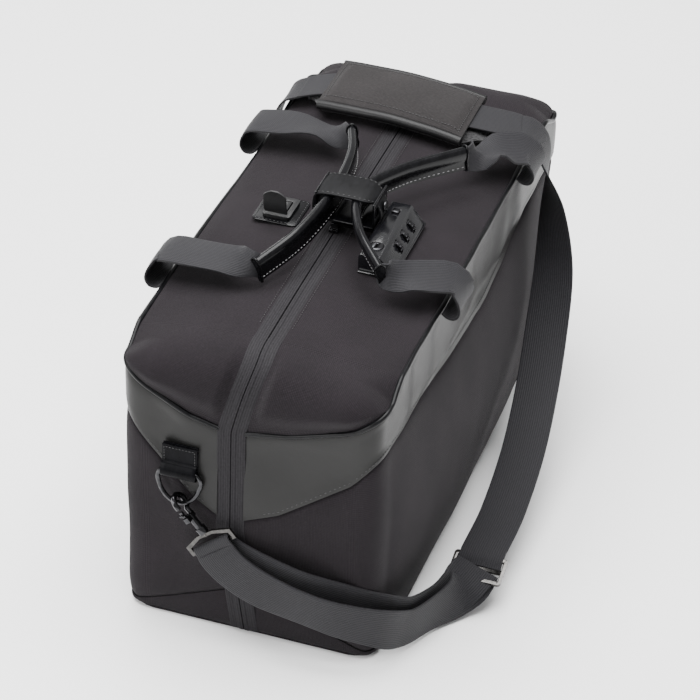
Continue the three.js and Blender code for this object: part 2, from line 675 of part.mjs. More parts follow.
const REAR_RUN = [
  [V(152, 119, 256), V(1, 0, 0)],
  [V(154, 127, 232), V(1, 0, 0.1)],
  [V(166, 135, 185), V(1, 0, 0.3)],
  [V(190, 140, 140), V(1, 0, 0.7)],
  [V(221, 138, 106), V(0.6, 0, 1)],
  [V(250, 126, 88), V(0.1, 0.2, 1)],
  [V(266, 108, 86), V(0, 0.6, 0.8)],
  [V(265.9, 87, 94.6), V(0, 0.78, 0.63)],
];

// Fold of the webbing round a loop's strap bar.
function nose(word) {
  const at = V(0, 0, LOOP_BAR_Z);
  return cut(rod("y", 3.9, WEB_W, at, 16), rod("y", 2.3, WEB_W + 2, at, 12)).applyMatrix4(snapPlace(word));
}

function adjuster() {
  const frame = frameOf(roundedRect(13, 23, 3), roundedRect(10, 20, 1.5), 3, -1.5);
  const middle = box(-2, 2, -22, 22, -1.2, 1.2);
  const g = join(frame, middle);
  g.applyMatrix4(
    new THREE.Matrix4().makeBasis(ALONG, V(0, 1, 0), V(0, 0, 0).crossVectors(ALONG, V(0, 1, 0))),
  );
  return g.translate(ADJUST.x, ADJUST.y, ADJUST.z);
}

// Pad: a sleeve over the strap and a wider cushion under it, both bent over the dome of the top.
function padLayer(y0, y1, halfW, low, high) {
  const steps = 8;
  const rows = [];
  for (let i = 0; i <= steps; i++) {
    const y = lerp(y0, y1, i / steps);
    const end = Math.min(1, (Math.min(i, steps - i) / steps) * 6 + 0.55);
    const x = 146;
    const lift = -9 * ((y - 8) / 100) ** 2;
    const at = (w, z) => V(x + w * halfW * end, y, z + lift);
    rows.push({
      outer: [at(-1, high - 2), at(-0.7, high), at(0.7, high), at(1, high - 2)],
      inner: [at(-1, low), at(-0.7, low), at(0.7, low), at(1, low)],
    });
  }
  return skin(rows);
}

add("strap_fold", join(ribbon(FOLD, WEB_W, 2 * WEB_T, 4), nose("near")), WEBBING);
add("strap_front_run", ribbon(FRONT_RUN, WEB_W, WEB_T, 4), WEBBING);
add("strap_top", ribbon(TOP_RUN, WEB_W, WEB_T, 3), WEBBING);
add("strap_rear_run", join(ribbon(REAR_RUN, WEB_W, WEB_T, 4), nose("far")), WEBBING);
add("adjuster", adjuster(), METAL);
add("pad_cover", padLayer(-60, 76, 35, 284, 291), FABRIC);
add("pad_cushion", padLayer(-76, 95, 33, 272.5, 278.5), FABRIC);

export default object;
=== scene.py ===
import json
import math

import bpy
from mathutils import Matrix, Vector, noise

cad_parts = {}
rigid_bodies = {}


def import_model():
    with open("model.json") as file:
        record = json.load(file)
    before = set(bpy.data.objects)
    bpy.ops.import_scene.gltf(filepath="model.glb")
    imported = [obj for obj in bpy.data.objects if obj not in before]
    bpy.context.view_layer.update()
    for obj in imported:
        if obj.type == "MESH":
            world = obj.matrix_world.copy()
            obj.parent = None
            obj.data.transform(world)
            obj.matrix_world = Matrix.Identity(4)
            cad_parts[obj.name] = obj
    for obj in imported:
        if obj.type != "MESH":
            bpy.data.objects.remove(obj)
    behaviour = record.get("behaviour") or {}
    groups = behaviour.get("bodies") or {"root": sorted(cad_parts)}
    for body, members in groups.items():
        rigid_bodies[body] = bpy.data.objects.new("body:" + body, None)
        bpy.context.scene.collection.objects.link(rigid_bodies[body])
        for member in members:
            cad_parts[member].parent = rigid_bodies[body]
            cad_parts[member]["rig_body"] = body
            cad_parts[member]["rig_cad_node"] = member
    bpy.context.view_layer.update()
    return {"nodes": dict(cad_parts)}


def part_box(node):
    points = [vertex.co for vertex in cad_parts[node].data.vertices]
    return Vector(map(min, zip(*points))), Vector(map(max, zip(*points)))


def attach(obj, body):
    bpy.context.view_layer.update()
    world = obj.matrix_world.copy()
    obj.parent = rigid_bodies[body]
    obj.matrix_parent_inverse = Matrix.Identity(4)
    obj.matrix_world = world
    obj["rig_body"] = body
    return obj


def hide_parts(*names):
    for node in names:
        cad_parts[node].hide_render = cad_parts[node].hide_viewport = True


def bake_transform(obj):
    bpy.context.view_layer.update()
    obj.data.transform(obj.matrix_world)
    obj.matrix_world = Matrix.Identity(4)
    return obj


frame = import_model()

# Sizes in metres. The first three come from the frame. SEAM_Z, CROWN, CORNER_R, BULGE, ZIP_HALF,
# ZIP_BOW and WEB_W repeat the part's own. The others are this model's: its webbing is 0.4 mm
# thinner than the part's, and its piping 0.2 mm greater in radius.
HALF_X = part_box("base_board")[1][0] + 0.008
HALF_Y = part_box("base_board")[1][1] + 0.008
FLAP_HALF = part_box("top_rear")[1][0]
SEAM_Z = 0.257
CROWN = 0.011
CORNER_R = 0.025
BULGE = 0.020
ZIP_HALF = 0.011
TAPE_HALF = 0.0125
ZIP_BOW = 0.014
FABRIC_T = 0.0016
WEB_W = 0.038
WEB_T = 0.0016
PIPE_R = 0.0022
SQUARE = 3.0  # how square the upright corners are filled out, 2 being round
STRAIGHT_X = HALF_X - CORNER_R
STRAIGHT_Y = HALF_Y - CORNER_R
PAD_X = sum(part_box("pad_cover")[i][0] for i in (0, 1)) / 2
PAD_DRIFT = 0.009  # how far the soft pad has slid towards the far end
PAD_SKEW = 0.11  # and how far it has turned, as a slope


# ---- camera, floor and light

def make_camera():
    bpy.ops.object.select_all(action="DESELECT")
    bpy.ops.object.camera_add()
    camera = bpy.context.active_object
    camera.name = "studio_camera"
    right = Vector((0.32304, -0.94614, 0.02138)).normalized()
    back = Vector((-0.77198, -0.25038, 0.58425)).normalized()
    right = (right - back * right.dot(back)).normalized()
    up = back.cross(right)
    turn = Matrix((right, up, back)).transposed().to_4x4()
    camera.matrix_world = Matrix.Translation(Vector((-1.9514, -0.6336, 1.5953))) @ turn
    camera.data.lens = 149.93
    camera.data.sensor_width = 36.0
    bpy.context.scene.camera = camera


def make_light(name, place, aim, size, power):
    bpy.ops.object.light_add(type="AREA", location=place)
    lamp = bpy.context.active_object
    lamp.name = name
    lamp.rotation_euler = (Vector(aim) - Vector(place)).to_track_quat("-Z", "Y").to_euler()
    lamp.data.size = size
    lamp.data.energy = power
    return lamp


def make_studio():
    bpy.ops.mesh.primitive_plane_add(size=30, location=(0, 0, -0.0006))
    floor = bpy.context.active_object
    floor.name = "studio_floor"
    floor.data.materials.append(plain("studio_paper", (0.97, 0.97, 0.97), 0.9))
    world = bpy.context.scene.world or bpy.data.worlds.new("studio_world")
    bpy.context.scene.world = world
    world.use_nodes = True
    sky = world.node_tree.nodes["Background"]
    sky.inputs["Color"].default_value = (1, 1, 1, 1)
    sky.inputs["Strength"].default_value = 0.62
    make_light("top_softbox", (0.1, 0.2, 2.6), (0, 0, 0.2), 2.6, 250)
    make_light("rear_softbox", (1.7, 1.6, 1.3), (0, 0, 0.2), 1.2, 9)
    make_light("end_softbox", (-2.0, 1.3, 1.2), (-0.2, 0, 0.1), 1.2, 40)


# ---- materials

def plain(name, colour, roughness, metallic=0.0, coat=0.0, specular=0.5):
    material = bpy.data.materials.new(name)
    material.use_nodes = True
    shader = material.node_tree.nodes["Principled BSDF"]
    shader.inputs["Base Color"].default_value = (*colour, 1)
    shader.inputs["Roughness"].default_value = roughness
    shader.inputs["Metallic"].default_value = metallic
    shader.inputs["Coat Weight"].default_value = coat
    shader.inputs["Coat Roughness"].default_value = 0.12
    shader.inputs["Specular IOR Level"].default_value = specular
    return material


class Recipe:
    """Node helper for one material."""

    def __init__(self, material):
        self.material = material
        self.tree = material.node_tree
        self.shader = self.tree.nodes["Principled BSDF"]

    def node(self, kind, **values):
        made = self.tree.nodes.new(kind)
        for key, value in values.items():
            if key in made.inputs:
                made.inputs[key].default_value = value
            else:
                setattr(made, key, value)
        return made

    def link(self, a, b):
        self.tree.links.new(a, b)

    def coordinates(self, use_uv):
        source = self.node("ShaderNodeTexCoord")
        return source.outputs["UV" if use_uv else "Object"]

    def scaled(self, coordinates, scale):
        mapping = self.node("ShaderNodeMapping", Scale=scale)
        self.link(coordinates, mapping.inputs["Vector"])
        return mapping.outputs["Vector"]

    def noise(self, coordinates, scale, detail=3.0, rough=0.55):
        made = self.node("ShaderNodeTexNoise", Scale=scale, Detail=detail, Roughness=rough)
        self.link(coordinates, made.inputs["Vector"])
        return made.outputs["Fac"]

    def wave(self, coordinates, direction, scale):
        made = self.node("ShaderNodeTexWave", bands_direction=direction, Scale=scale)
        self.link(coordinates, made.inputs["Vector"])
        return made.outputs["Fac"]

    def math(self, operation, a, b):
        made = self.node("ShaderNodeMath", operation=operation)
        for socket, value in ((made.inputs[0], a), (made.inputs[1], b)):
            if isinstance(value, (int, float)):
                socket.default_value = value
            else:
                self.link(value, socket)
        return made.outputs[0]

    def between(self, factor, low, high):
        """Map 0..1 onto low..high."""
        made = self.node("ShaderNodeMapRange")
        made.inputs["To Min"].default_value = low
        made.inputs["To Max"].default_value = high
        self.link(factor, made.inputs["Value"])
        return made.outputs["Result"]

    def colours(self, factor, *stops):
        ramp = self.node("ShaderNodeValToRGB")
        elements = ramp.color_ramp.elements
        while len(elements) < len(stops):
            elements.new(0.5)
        for element, (place, colour) in zip(elements, stops):
            element.position = place
            element.color = (*colour, 1)
        self.link(factor, ramp.inputs["Fac"])
        self.link(ramp.outputs["Color"], self.shader.inputs["Base Color"])

    def bump(self, height, distance, strength=1.0):
        made = self.node("ShaderNodeBump")
        made.inputs["Distance"].default_value = distance
        made.inputs["Strength"].default_value = strength
        self.link(height, made.inputs["Height"])
        earlier = self.shader.inputs["Normal"]
        if earlier.is_linked:
            self.link(earlier.links[0].from_socket, made.inputs["Normal"])
        self.link(made.outputs["Normal"], earlier)

    def roughness(self, factor, low, high):
        self.link(self.between(factor, low, high), self.shader.inputs["Roughness"])


def tint(colour, share):
    return tuple(c * share for c in colour)


def weave_fabric(name, colour, thread):
    """Matt woven polyester: crossed threads, a heathered tone and a little lint sheen."""
    r = Recipe(plain(name, colour, 0.85, specular=0.12))
    uv = r.coordinates(True)
    cycles = 1 / thread / 6.2832
    warp = r.wave(uv, "X", cycles * 2)
    weft = r.wave(uv, "Y", cycles * 2)
    threads = r.math("MULTIPLY", warp, weft)
    twill = r.wave(uv, "DIAGONAL", cycles * 2)
    heather = r.noise(r.scaled(uv, (380, 620, 1)), 1.0, 2.0)
    cloudy = r.noise(uv, 14.0, 4.0)
    tone = r.math("ADD", r.math("MULTIPLY", heather, 0.5), r.math("MULTIPLY", cloudy, 0.3))
    tone = r.math("ADD", tone, r.math("MULTIPLY", twill, 0.2))
    r.colours(tone, (0.22, tint(colour, 0.45)), (0.5, colour), (0.78, tint(colour, 2.1)))
    r.roughness(heather, 0.78, 0.95)
    r.bump(threads, 0.00035, 0.8)
    r.bump(r.noise(uv, 160.0, 2.0), 0.0004, 0.5)
    r.shader.inputs["Sheen Weight"].default_value = 0.04
    r.shader.inputs["Sheen Roughness"].default_value = 0.5
    return r.material


def coated_fabric(name, colour):
    """Satin leatherette: faint pebble grain, soft gloss, scuffed patches."""
    r = Recipe(plain(name, colour, 0.38, specular=0.19))
    place = r.coordinates(False)
    grain = r.node("ShaderNodeTexVoronoi", Scale=1300.0)
    r.link(place, grain.inputs["Vector"])
    patches = r.noise(place, 18.0, 5.0)
    r.colours(patches, (0.3, tint(colour, 0.8)), (0.7, tint(colour, 1.2)))
    r.roughness(patches, 0.3, 0.44)
    r.bump(grain.outputs["Distance"], 0.00012, 0.6)
    r.bump(r.noise(place, 60.0, 3.0), 0.0006, 0.35)
    return r.material


def gloss_leather(name, colour, roughness=0.2, specular=0.14):
    """Glossy finished leather: creases and pores under a clear dressing."""
    r = Recipe(plain(name, colour, roughness, specular=specular))
    place = r.coordinates(False)
    pores = r.node("ShaderNodeTexVoronoi", Scale=1600.0)
    r.link(place, pores.inputs["Vector"])
    creases = r.noise(r.scaled(place, (1, 2.5, 1)), 130.0, 4.0)
    r.colours(creases, (0.35, tint(colour, 0.7)), (0.75, tint(colour, 1.7)))
    r.roughness(creases, roughness * 0.8, roughness * 1.7)
    r.bump(pores.outputs["Distance"], 0.00005, 0.18)
    r.bump(creases, 0.00015, 0.12)
    return r.material


def webbing_weave(name, colour):
    """Seat-belt webbing: fine lengthwise ribs crossed by tight chevron picks."""
    r = Recipe(plain(name, colour, 0.62, specular=0.16))
    uv = r.coordinates(True)
    ribs = r.wave(uv, "Y", 1 / 0.0019 / 6.2832 * 2)
    picks = r.wave(uv, "X", 1 / 0.0009 / 6.2832 * 2)
    weave = r.math("ADD", r.math("MULTIPLY", ribs, 0.7), r.math("MULTIPLY", picks, 0.3))
    fuzz = r.noise(r.scaled(uv, (500, 1500, 1)), 1.0, 2.0)
    tone = r.math("ADD", r.math("MULTIPLY", fuzz, 0.7), r.math("MULTIPLY", ribs, 0.3))
    r.colours(tone, (0.3, tint(colour, 0.55)), (0.7, tint(colour, 1.6)))
    r.roughness(fuzz, 0.5, 0.7)
    r.bump(weave, 0.0003, 0.9)
    r.shader.inputs["Sheen Weight"].default_value = 0.05
    return r.material


def zip_weave(name, colour):
    """Zip tape: close ribs along its length."""
    r = Recipe(plain(name, colour, 0.75, specular=0.15))
    uv = r.coordinates(True)
    ribs = r.wave(uv, "Y", 1 / 0.0021 / 6.2832 * 2)
    fuzz = r.noise(r.scaled(uv, (500, 500, 1)), 1.0, 2.0)
    tone = r.math("ADD", r.math("MULTIPLY", fuzz, 0.75), r.math("MULTIPLY", ribs, 0.25))
    r.colours(tone, (0.25, tint(colour, 0.6)), (0.75, tint(colour, 1.6)))
    r.bump(ribs, 0.00025, 0.5)
    return r.material


def gloss_thread(name, colour):
    """Twisted polyester sewing thread."""
    r = Recipe(plain(name, colour, 0.5))
    ply = r.noise(r.coordinates(False), 900.0, 2.0)
    r.colours(ply, (0.3, tint(colour, 0.6)), (0.7, tint(colour, 1.3)))
    return r.material


def dark_metal(name, colour, roughness):
    """Plated hardware: thin casting marks and worn, brighter patches."""
    r = Recipe(plain(name, colour, roughness, metallic=0.95))
    place = r.coordinates(False)
    wear = r.noise(place, 240.0, 5.0, 0.65)
    r.colours(wear, (0.35, tint(colour, 0.75)), (0.72, tint(colour, 1.6)))
    r.roughness(wear, roughness * 0.75, roughness * 1.5)
    r.bump(wear, 0.00008, 0.3)
    return r.material


def moulding(name, colour, roughness, coat=0.0):
    """Injection moulding: fine spark texture and faint flow marks."""
    r = Recipe(plain(name, colour, roughness, coat=coat))
    place = r.coordinates(False)
    spark = r.noise(place, 2600.0, 2.0)
    flow = r.noise(r.scaled(place, (1, 3, 1)), 45.0, 3.0)
    r.colours(flow, (0.3, tint(colour, 0.85)), (0.7, tint(colour, 1.25)))
    r.roughness(flow, roughness * 0.85, roughness * 1.25)
    r.bump(spark, 0.00003, 0.4)
    return r.material


def air_mesh(name, colour):
    """Open spacer mesh under the shoulder pad, with painted shade in its openings."""
    r = Recipe(plain(name, colour, 0.85, specular=0.3))
    uv = r.coordinates(True)
    cells = r.node("ShaderNodeTexVoronoi", Scale=420.0)
    r.link(uv, cells.inputs["Vector"])
    # The cell hollows are painted dark and the rims between them lighter, which is painted shade in the
    # mesh's openings.
    r.colours(cells.outputs["Distance"], (0.15, tint(colour, 0.25)), (0.5, tint(colour, 1.3)))
    r.bump(cells.outputs["Distance"], 0.0006, 0.9)
    return r.material


SHELL = weave_fabric("shell_fabric", (0.0098, 0.0077, 0.0094), 0.0011)
PAD_CLOTH = weave_fabric("pad_fabric", (0.0185, 0.0168, 0.0170), 0.0011)
LINING_PLAIN = moulding("lining_fabric", (0.12, 0.115, 0.125), 0.8)
BAND = coated_fabric("coated_band", (0.0086, 0.0084, 0.0081))
PIPING = gloss_leather("piping_gloss", (0.004, 0.004, 0.0045), 0.26)
LEATHER = gloss_leather("black_leather", (0.0030, 0.0030, 0.0036), 0.16, 0.2)
# A darker, less glossy copy of the black leather for the end tabs: painted shade, since the tabs face the
# light.
SHADED_TAB_LEATHER = gloss_leather("tab_leather_painted_shade", (0.0022, 0.0022, 0.0028), 0.24, 0.05)
WRAP_LEATHER = gloss_leather("wrap_leather", (0.004, 0.004, 0.0045), 0.4, 0.1)
PAD_EDGE = coated_fabric("pad_edge_binding", (0.0095, 0.0092, 0.0096))
WEBBING = webbing_weave("strap_webbing", (0.0118, 0.0114, 0.0132))
TAPE = zip_weave("zip_tape", (0.0125, 0.0115, 0.0130))
GUNMETAL = dark_metal("gunmetal", (0.034, 0.034, 0.036), 0.15)
PLATED = dark_metal("plated_loops", (0.062, 0.060, 0.058), 0.22)
LOCK_GLOSS = moulding("lock_gloss", (0.004, 0.004, 0.005), 0.17, 0.4)
LOCK_METAL = dark_metal("lock_metal", (0.045, 0.045, 0.048), 0.2)
OUTLET = moulding("outlet_plastic", (0.006, 0.006, 0.0065), 0.36)
RUBBER = moulding("cover_rubber", (0.007, 0.007, 0.0075), 0.55)
BOARD = moulding("base_board", (0.03, 0.03, 0.03), 0.7)
THREAD = gloss_thread("grip_thread", (0.20, 0.195, 0.20))
DARK_THREAD = gloss_thread("panel_thread", (0.022, 0.0215, 0.0225))
MESH = air_mesh("air_mesh", (0.026, 0.0255, 0.0265))


# ---- modelling helpers

def choose(piece):
    bpy.ops.object.select_all(action="DESELECT")
    piece.select_set(True)
    bpy.context.view_layer.objects.active = piece


def settle(piece, angle=35):
    """Place goes into the mesh, and the surface is shaded smooth up to an angle."""
    choose(piece)
    bpy.ops.object.transform_apply(location=True, rotation=True, scale=True)
    bpy.ops.object.shade_smooth_by_angle(angle=math.radians(angle))
    return piece


def modify(piece, kind, **values):
    choose(piece)
    modifier = piece.modifiers.new(kind.title(), kind)
    for key, value in values.items():
        setattr(modifier, key, value)
    bpy.ops.object.modifier_apply(modifier=modifier.name)
    return piece


def edit(piece, *steps):
    """Edit-mode operators on the whole mesh."""
    choose(piece)
    bpy.ops.object.mode_set(mode="EDIT")
    bpy.ops.mesh.select_all(action="SELECT")
    for step, values in steps:
        step(**values)
    bpy.ops.object.mode_set(mode="OBJECT")
    return piece


def thicken(piece, thickness, offset, edge, segments=2, angle=1.0):
    """Wall thickness and rounded edges for a flat piece."""
    modify(piece, "SOLIDIFY", thickness=thickness, offset=offset, use_rim=True)
    modify(piece, "BEVEL", width=edge, segments=segments, limit_method="ANGLE", angle_limit=angle)
    return piece


def cloth(name, size, counts, place, material, thickness=FABRIC_T, outside=None):
    """Cut cloth laid from a flat grid; place(u, v) gives each point and the size its weave."""
    bpy.ops.object.select_all(action="DESELECT")
    bpy.ops.mesh.primitive_grid_add(x_subdivisions=counts[0], y_subdivisions=counts[1], size=1)
    piece = bpy.context.active_object
    piece.name = name
    mesh = piece.data
    for vertex in mesh.vertices:
        vertex.co = place(vertex.co.x + 0.5, vertex.co.y + 0.5)
    for corner in mesh.uv_layers.active.data:
        corner.uv = (corner.uv[0] * size[0], corner.uv[1] * size[1])
    mesh.update()
    middle = Vector(outside) if outside else Vector((0, 0, 0.13))
    facing = sum(f.normal.dot(f.center - middle) * f.area for f in mesh.polygons)
    if facing < 0:
        mesh.flip_normals()
    mesh.materials.append(material)
    if thickness:
        modify(piece, "SOLIDIFY", thickness=thickness, offset=-1, use_rim=True)
    return settle(piece, 50)


def spline(points, t):
    """Smooth curve through points, t from 0 to 1."""
    last = len(points) - 1
    at = min(max(t, 0), 1) * last
    i = min(int(at), last - 1)
    f = at - i
    b, c = points[i], points[i + 1]
    a = points[i - 1] if i else b * 2 - c
    d = points[i + 2] if i + 2 <= last else c * 2 - b
    square = (2 * a - 5 * b + 4 * c - d) * f * f
    return 0.5 * (2 * b + (c - a) * f + square + (3 * b - a - 3 * c + d) * f ** 3)


def number_spline(values, t):
    return spline([Vector((v, 0, 0)) for v in values], t).x


def curve_length(points):
    places = [spline(points, i / 120) for i in range(121)]
    return sum((b - a).length for a, b in zip(places, places[1:]))


class Route:
    """A band's way: stations of (centre, direction across, width share)."""

    def __init__(self, stations):
        self.centres = [Vector(s[0]) for s in stations]
        self.across = [Vector(s[1]).normalized() for s in stations]
        self.shares = [s[2] if len(s) > 2 else 1.0 for s in stations]
        self.length = curve_length(self.centres)

    def frame(self, t):
        centre = spline(self.centres, t)
        go = (spline(self.centres, min(t + 0.004, 1)) - spline(self.centres, max(t - 0.004, 0))).normalized()
        across = spline(self.across, t)
        across = (across - go * across.dot(go)).normalized()
        return centre, across, go.cross(across)

    def share(self, t):
        return number_spline(self.shares, t)


def band(name, stations, width, material, cup=0.0):
    """Flat webbing along a route, a little cupped, with soft edges."""
    route = Route(stations)
    steps = max(12, int(route.length / 0.0035))

    def place(u, v):
        centre, across, up = route.frame(u)
        half = width / 2 * route.share(u)
        side = 2 * v - 1
        return centre + across * half * side + up * cup * (1 - side * side)

    piece = cloth(name, (route.length, width), (steps, 12), place, material, 0)
    return settle(thicken(piece, WEB_T, 0, WEB_T * 0.3), 50)


def bar(name, points, radius, material, closed=False, sides=6, resolution=10):
    """Round bar or tube along points."""
    bpy.ops.object.select_all(action="DESELECT")
    bpy.ops.curve.primitive_bezier_curve_add()
    piece = bpy.context.active_object
    piece.name = name
    data = piece.data
    data.splines.clear()
    run = data.splines.new("BEZIER")
    run.bezier_points.add(len(points) - 1)
    for knot, point in zip(run.bezier_points, points):
        knot.co = point
        knot.handle_left_type = knot.handle_right_type = "AUTO"
    run.use_cyclic_u = closed
    run.resolution_u = resolution
    data.bevel_depth = radius
    data.bevel_resolution = sides
    data.use_fill_caps = True
    choose(piece)
    bpy.ops.object.convert(target="MESH")
    piece = bpy.context.active_object
    edit(piece, (bpy.ops.mesh.remove_doubles, {"threshold": 1e-6}),
         (bpy.ops.mesh.normals_make_consistent, {"inside": False}))
    piece.data.materials.clear()
    piece.data.materials.append(material)
    return settle(piece, 60)


def sweep(name, frame_at, outline, steps, size, material):
    """Closed section carried along a way, capped at both ends."""
    around = len(outline)

    def place(u, v):
        centre, across, up = frame_at(u)
        a, b = outline[int(round(v * around)) % around]
        return centre + across * a + up * b

    piece = cloth(name, size, (steps, around), place, material, 0)
    edit(piece, (bpy.ops.mesh.remove_doubles, {"threshold": 1e-6}),
         (bpy.ops.mesh.select_all, {"action": "DESELECT"}),
         (bpy.ops.mesh.select_non_manifold, {}),
         (bpy.ops.mesh.fill_holes, {"sides": 0}),
         (bpy.ops.mesh.select_all, {"action": "SELECT"}),
         (bpy.ops.mesh.normals_make_consistent, {"inside": False}))
    return settle(piece, 60)


def softened(node, material, width, segments, angle):
    """A CAD piece with its facets merged and its edges rounded, standing in for the node."""
    source = frame["nodes"][node]
    choose(source)
    piece = source.copy()
    piece.data = source.data.copy()
    bpy.context.collection.objects.link(piece)
    piece.parent = None
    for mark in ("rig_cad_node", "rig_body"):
        if mark in piece:
            del piece[mark]
    piece.name = node + "_finished"
    edit(piece, (bpy.ops.mesh.remove_doubles, {"threshold": 1e-6}),
         (bpy.ops.mesh.dissolve_limited, {"angle_limit": 0.02}))
    modify(piece, "BEVEL", width=width, segments=segments, limit_method="ANGLE", angle_limit=angle)
    piece.data.materials.clear()
    piece.data.materials.append(material)
    return settle(piece, 40)


def scatter(name, template, places, material):
    """One mesh of many copies of a small shape, each at its own placing matrix."""
    mesh = template.data
    corners = [v.co.copy() for v in mesh.vertices]
    faces = [tuple(f.vertices) for f in mesh.polygons]
    points = []
    loops = []
    for placing in places:
        first = len(points)
        points += [placing @ corner for corner in corners]
        loops += [tuple(first + i for i in face) for face in faces]
    merged = bpy.data.meshes.new(name)
    merged.from_pydata(points, [], loops)
    piece = bpy.data.objects.new(name, merged)
    bpy.context.collection.objects.link(piece)
    merged.materials.append(material)
    bpy.data.objects.remove(template)
    return settle(piece, 80)


def stitch_shape(length, radius):
    bpy.ops.object.select_all(action="DESELECT")
    bpy.ops.mesh.primitive_uv_sphere_add(segments=6, ring_count=5, radius=1)
    stitch = bpy.context.active_object
    stitch.scale = (length / 2, radius, radius)
    bpy.ops.object.transform_apply(location=False, rotation=False, scale=True)
    return stitch


def stitching(name, lines, pitch=0.0032, length=0.0024, radius=0.00034, thread=None):
    """Rows of thread stitches. Each line is a function t -> (point, outward normal)."""
    places = []
    for line, run in lines:
        count = max(2, int(run / pitch))
        for i in range(count):
            t = (i + 0.5) / count
            point, normal = line(t)
            ahead = line(min(t + 0.3 / count, 1))[0] - line(max(t - 0.3 / count, 0))[0]
            go = ahead.normalized()
            side = normal.cross(go).normalized()
            turn = Matrix((go, side, go.cross(side))).transposed().to_4x4()
            places.append(Matrix.Translation(point + normal * 0.0001) @ turn)
    return scatter(name, stitch_shape(length, radius), places, thread or DARK_THREAD)


def finish(piece, body, slot, *nodes):
    if nodes:
        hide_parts(*nodes)
    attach(piece, body)
    return piece


def dress(node, body, slot, material, width=0.0004, segments=2, angle=0.6):
    """Softened copy of a node, put in its place."""
    return finish(softened(node, material, width, segments, angle), body, slot, node)


# ---- body surfaces

def smooth(t):
    t = min(max(t, 0), 1)
    return t * t * (3 - 2 * t)


def along(pairs, at):
    """Straight runs through (place, value) pairs."""
    for (p0, v0), (p1, v1) in zip(pairs, pairs[1:]):
        if at <= p1:
            return v0 + (v1 - v0) * min(max((at - p0) / (p1 - p0), 0), 1)
    return pairs[-1][1]


def rim(side, u):
    """Plan outline of one half: x, y and outward normal, from the near zip round to the far zip."""
    gap = ZIP_HALF + 0.0002
    end, arc, run = STRAIGHT_Y - gap, CORNER_R * math.pi / 2, 2 * STRAIGHT_X
    total = 2 * end + 2 * arc + run
    s = u * total
    far = s > total / 2
    if far:
        s = total - s
    if s < end:
        x, y, nx, ny = HALF_X, gap + s, 1, 0
    elif s < end + arc:
        a = (s - end) / CORNER_R
        nx, ny = math.cos(a), math.sin(a)
        x = STRAIGHT_X + CORNER_R * abs(nx) ** (2 / SQUARE)
        y = STRAIGHT_Y + CORNER_R * abs(ny) ** (2 / SQUARE)
    else:
        x, y, nx, ny = STRAIGHT_X - (s - end - arc), HALF_Y, 0, 1
    turn = 1 if far else -1
    return turn * x, side * y, turn * nx, side * ny


RIM_LENGTH = 2 * (STRAIGHT_Y - ZIP_HALF) + math.pi * CORNER_R + 2 * STRAIGHT_X


HIGH_CORNER = 0.247  # the band's two seams at the upright corners
LOW_CORNER = 0.205
END_FOOT = 0.0015  # how far the top stands over its seam at the ends


def on_end(x):
    return abs(x) > STRAIGHT_X


def upper_seam(x, y):
    if on_end(x):
        return along([(0, 0.203), (0.043, 0.212), (STRAIGHT_Y, 0.229), (HALF_Y, HIGH_CORNER)], abs(y))
    return along([(FLAP_HALF, SEAM_Z), (STRAIGHT_X, HIGH_CORNER)], abs(x))


def lower_seam(x, y):
    if on_end(x):
        return along([(0, 0.115), (0.036, 0.134), (STRAIGHT_Y, 0.176), (HALF_Y, LOW_CORNER)], abs(y))
    return along([(0, 0.191), (STRAIGHT_X, LOW_CORNER)], abs(x))


def base_seam(x, y):
    return along([(0, 0.045), (0.1, 0.006)], abs(y)) if on_end(x) else 0.006


def swell(x, y, z):
    middle = 0.2 * (1 - abs(y) / HALF_Y) if on_end(x) else 1 - (x / STRAIGHT_X) ** 4
    return BULGE * middle * math.sin(math.pi * min(1, max(z, 0) / 0.2)) ** 0.8


def lean(x, y, z):
    """Sideways drift of the near end's pieces with its zip."""
    if x > -HALF_X + 0.045:
        return 0.0
    share = along([(ZIP_HALF, 1), (STRAIGHT_Y, 0)], abs(y))
    fade = smooth((-x - HALF_X + 0.045) / 0.045)
    return ZIP_BOW * share * fade * along([(0, 0.2), (0.11, 1), (0.205, 1), (0.262, 0)], z)


def slump(x, y, z, amount=1.0):
    """Soft folds of filled fabric."""
    broad = noise.noise(Vector((x * 9 + 3, y * 9, z * 11)))
    fine = noise.noise(Vector((x * 30, y * 30 + 7, z * 22)))
    return amount * (0.0030 * broad + 0.0009 * fine)


def wall(side, u, z, depth=0.0):
    x, y, nx, ny = rim(side, u)
    out = swell(x, y, z) + slump(x, y, z) * smooth(z / 0.03) - depth
    return Vector((x + nx * out, y + ny * out + lean(x, y, z) * (abs(x) > HALF_X - 1e-4), z))


def tuck(distance, depth=0.0016, reach=0.003):
    """How far a panel dives at a seam."""
    return depth * math.exp(-max(distance, 0) / reach)


def top_height(x, y):
    return SEAM_Z + 0.002 + CROWN * (1 - (y / HALF_Y) ** 2) - 0.002 * (x / FLAP_HALF) ** 4


SHOULDER = 0.13  # share of the top panel that turns down over each end
END_PUFF = {-1: 0.0075, 1: 0.004}


def side_limit(x, v):
    """Highest that the rounded end may stand near the side seam."""
    seam = along([(FLAP_HALF, SEAM_Z), (STRAIGHT_X, HIGH_CORNER)], abs(x))
    return seam + 0.0012 + 0.55 * (1 - v) * (HALF_Y - ZIP_HALF)


def over_end(a, reach, y):
    """Turn of the top over one end, a running from 0 on top to a right angle at the seam."""
    foot = upper_seam(HALF_X, y) + END_FOOT
    x = FLAP_HALF + (reach - FLAP_HALF) * math.sin(a) ** 0.8
    return x, foot + (top_height(FLAP_HALF, y) - foot) * math.cos(a) ** 0.8


def soft_least(a, b):
    """The smaller of two heights, with a rounded change-over."""
    reach = 0.004
    share = min(max(0.5 + 0.5 * (b - a) / reach, 0), 1)
    return b + (a - b) * share - reach * share * (1 - share)


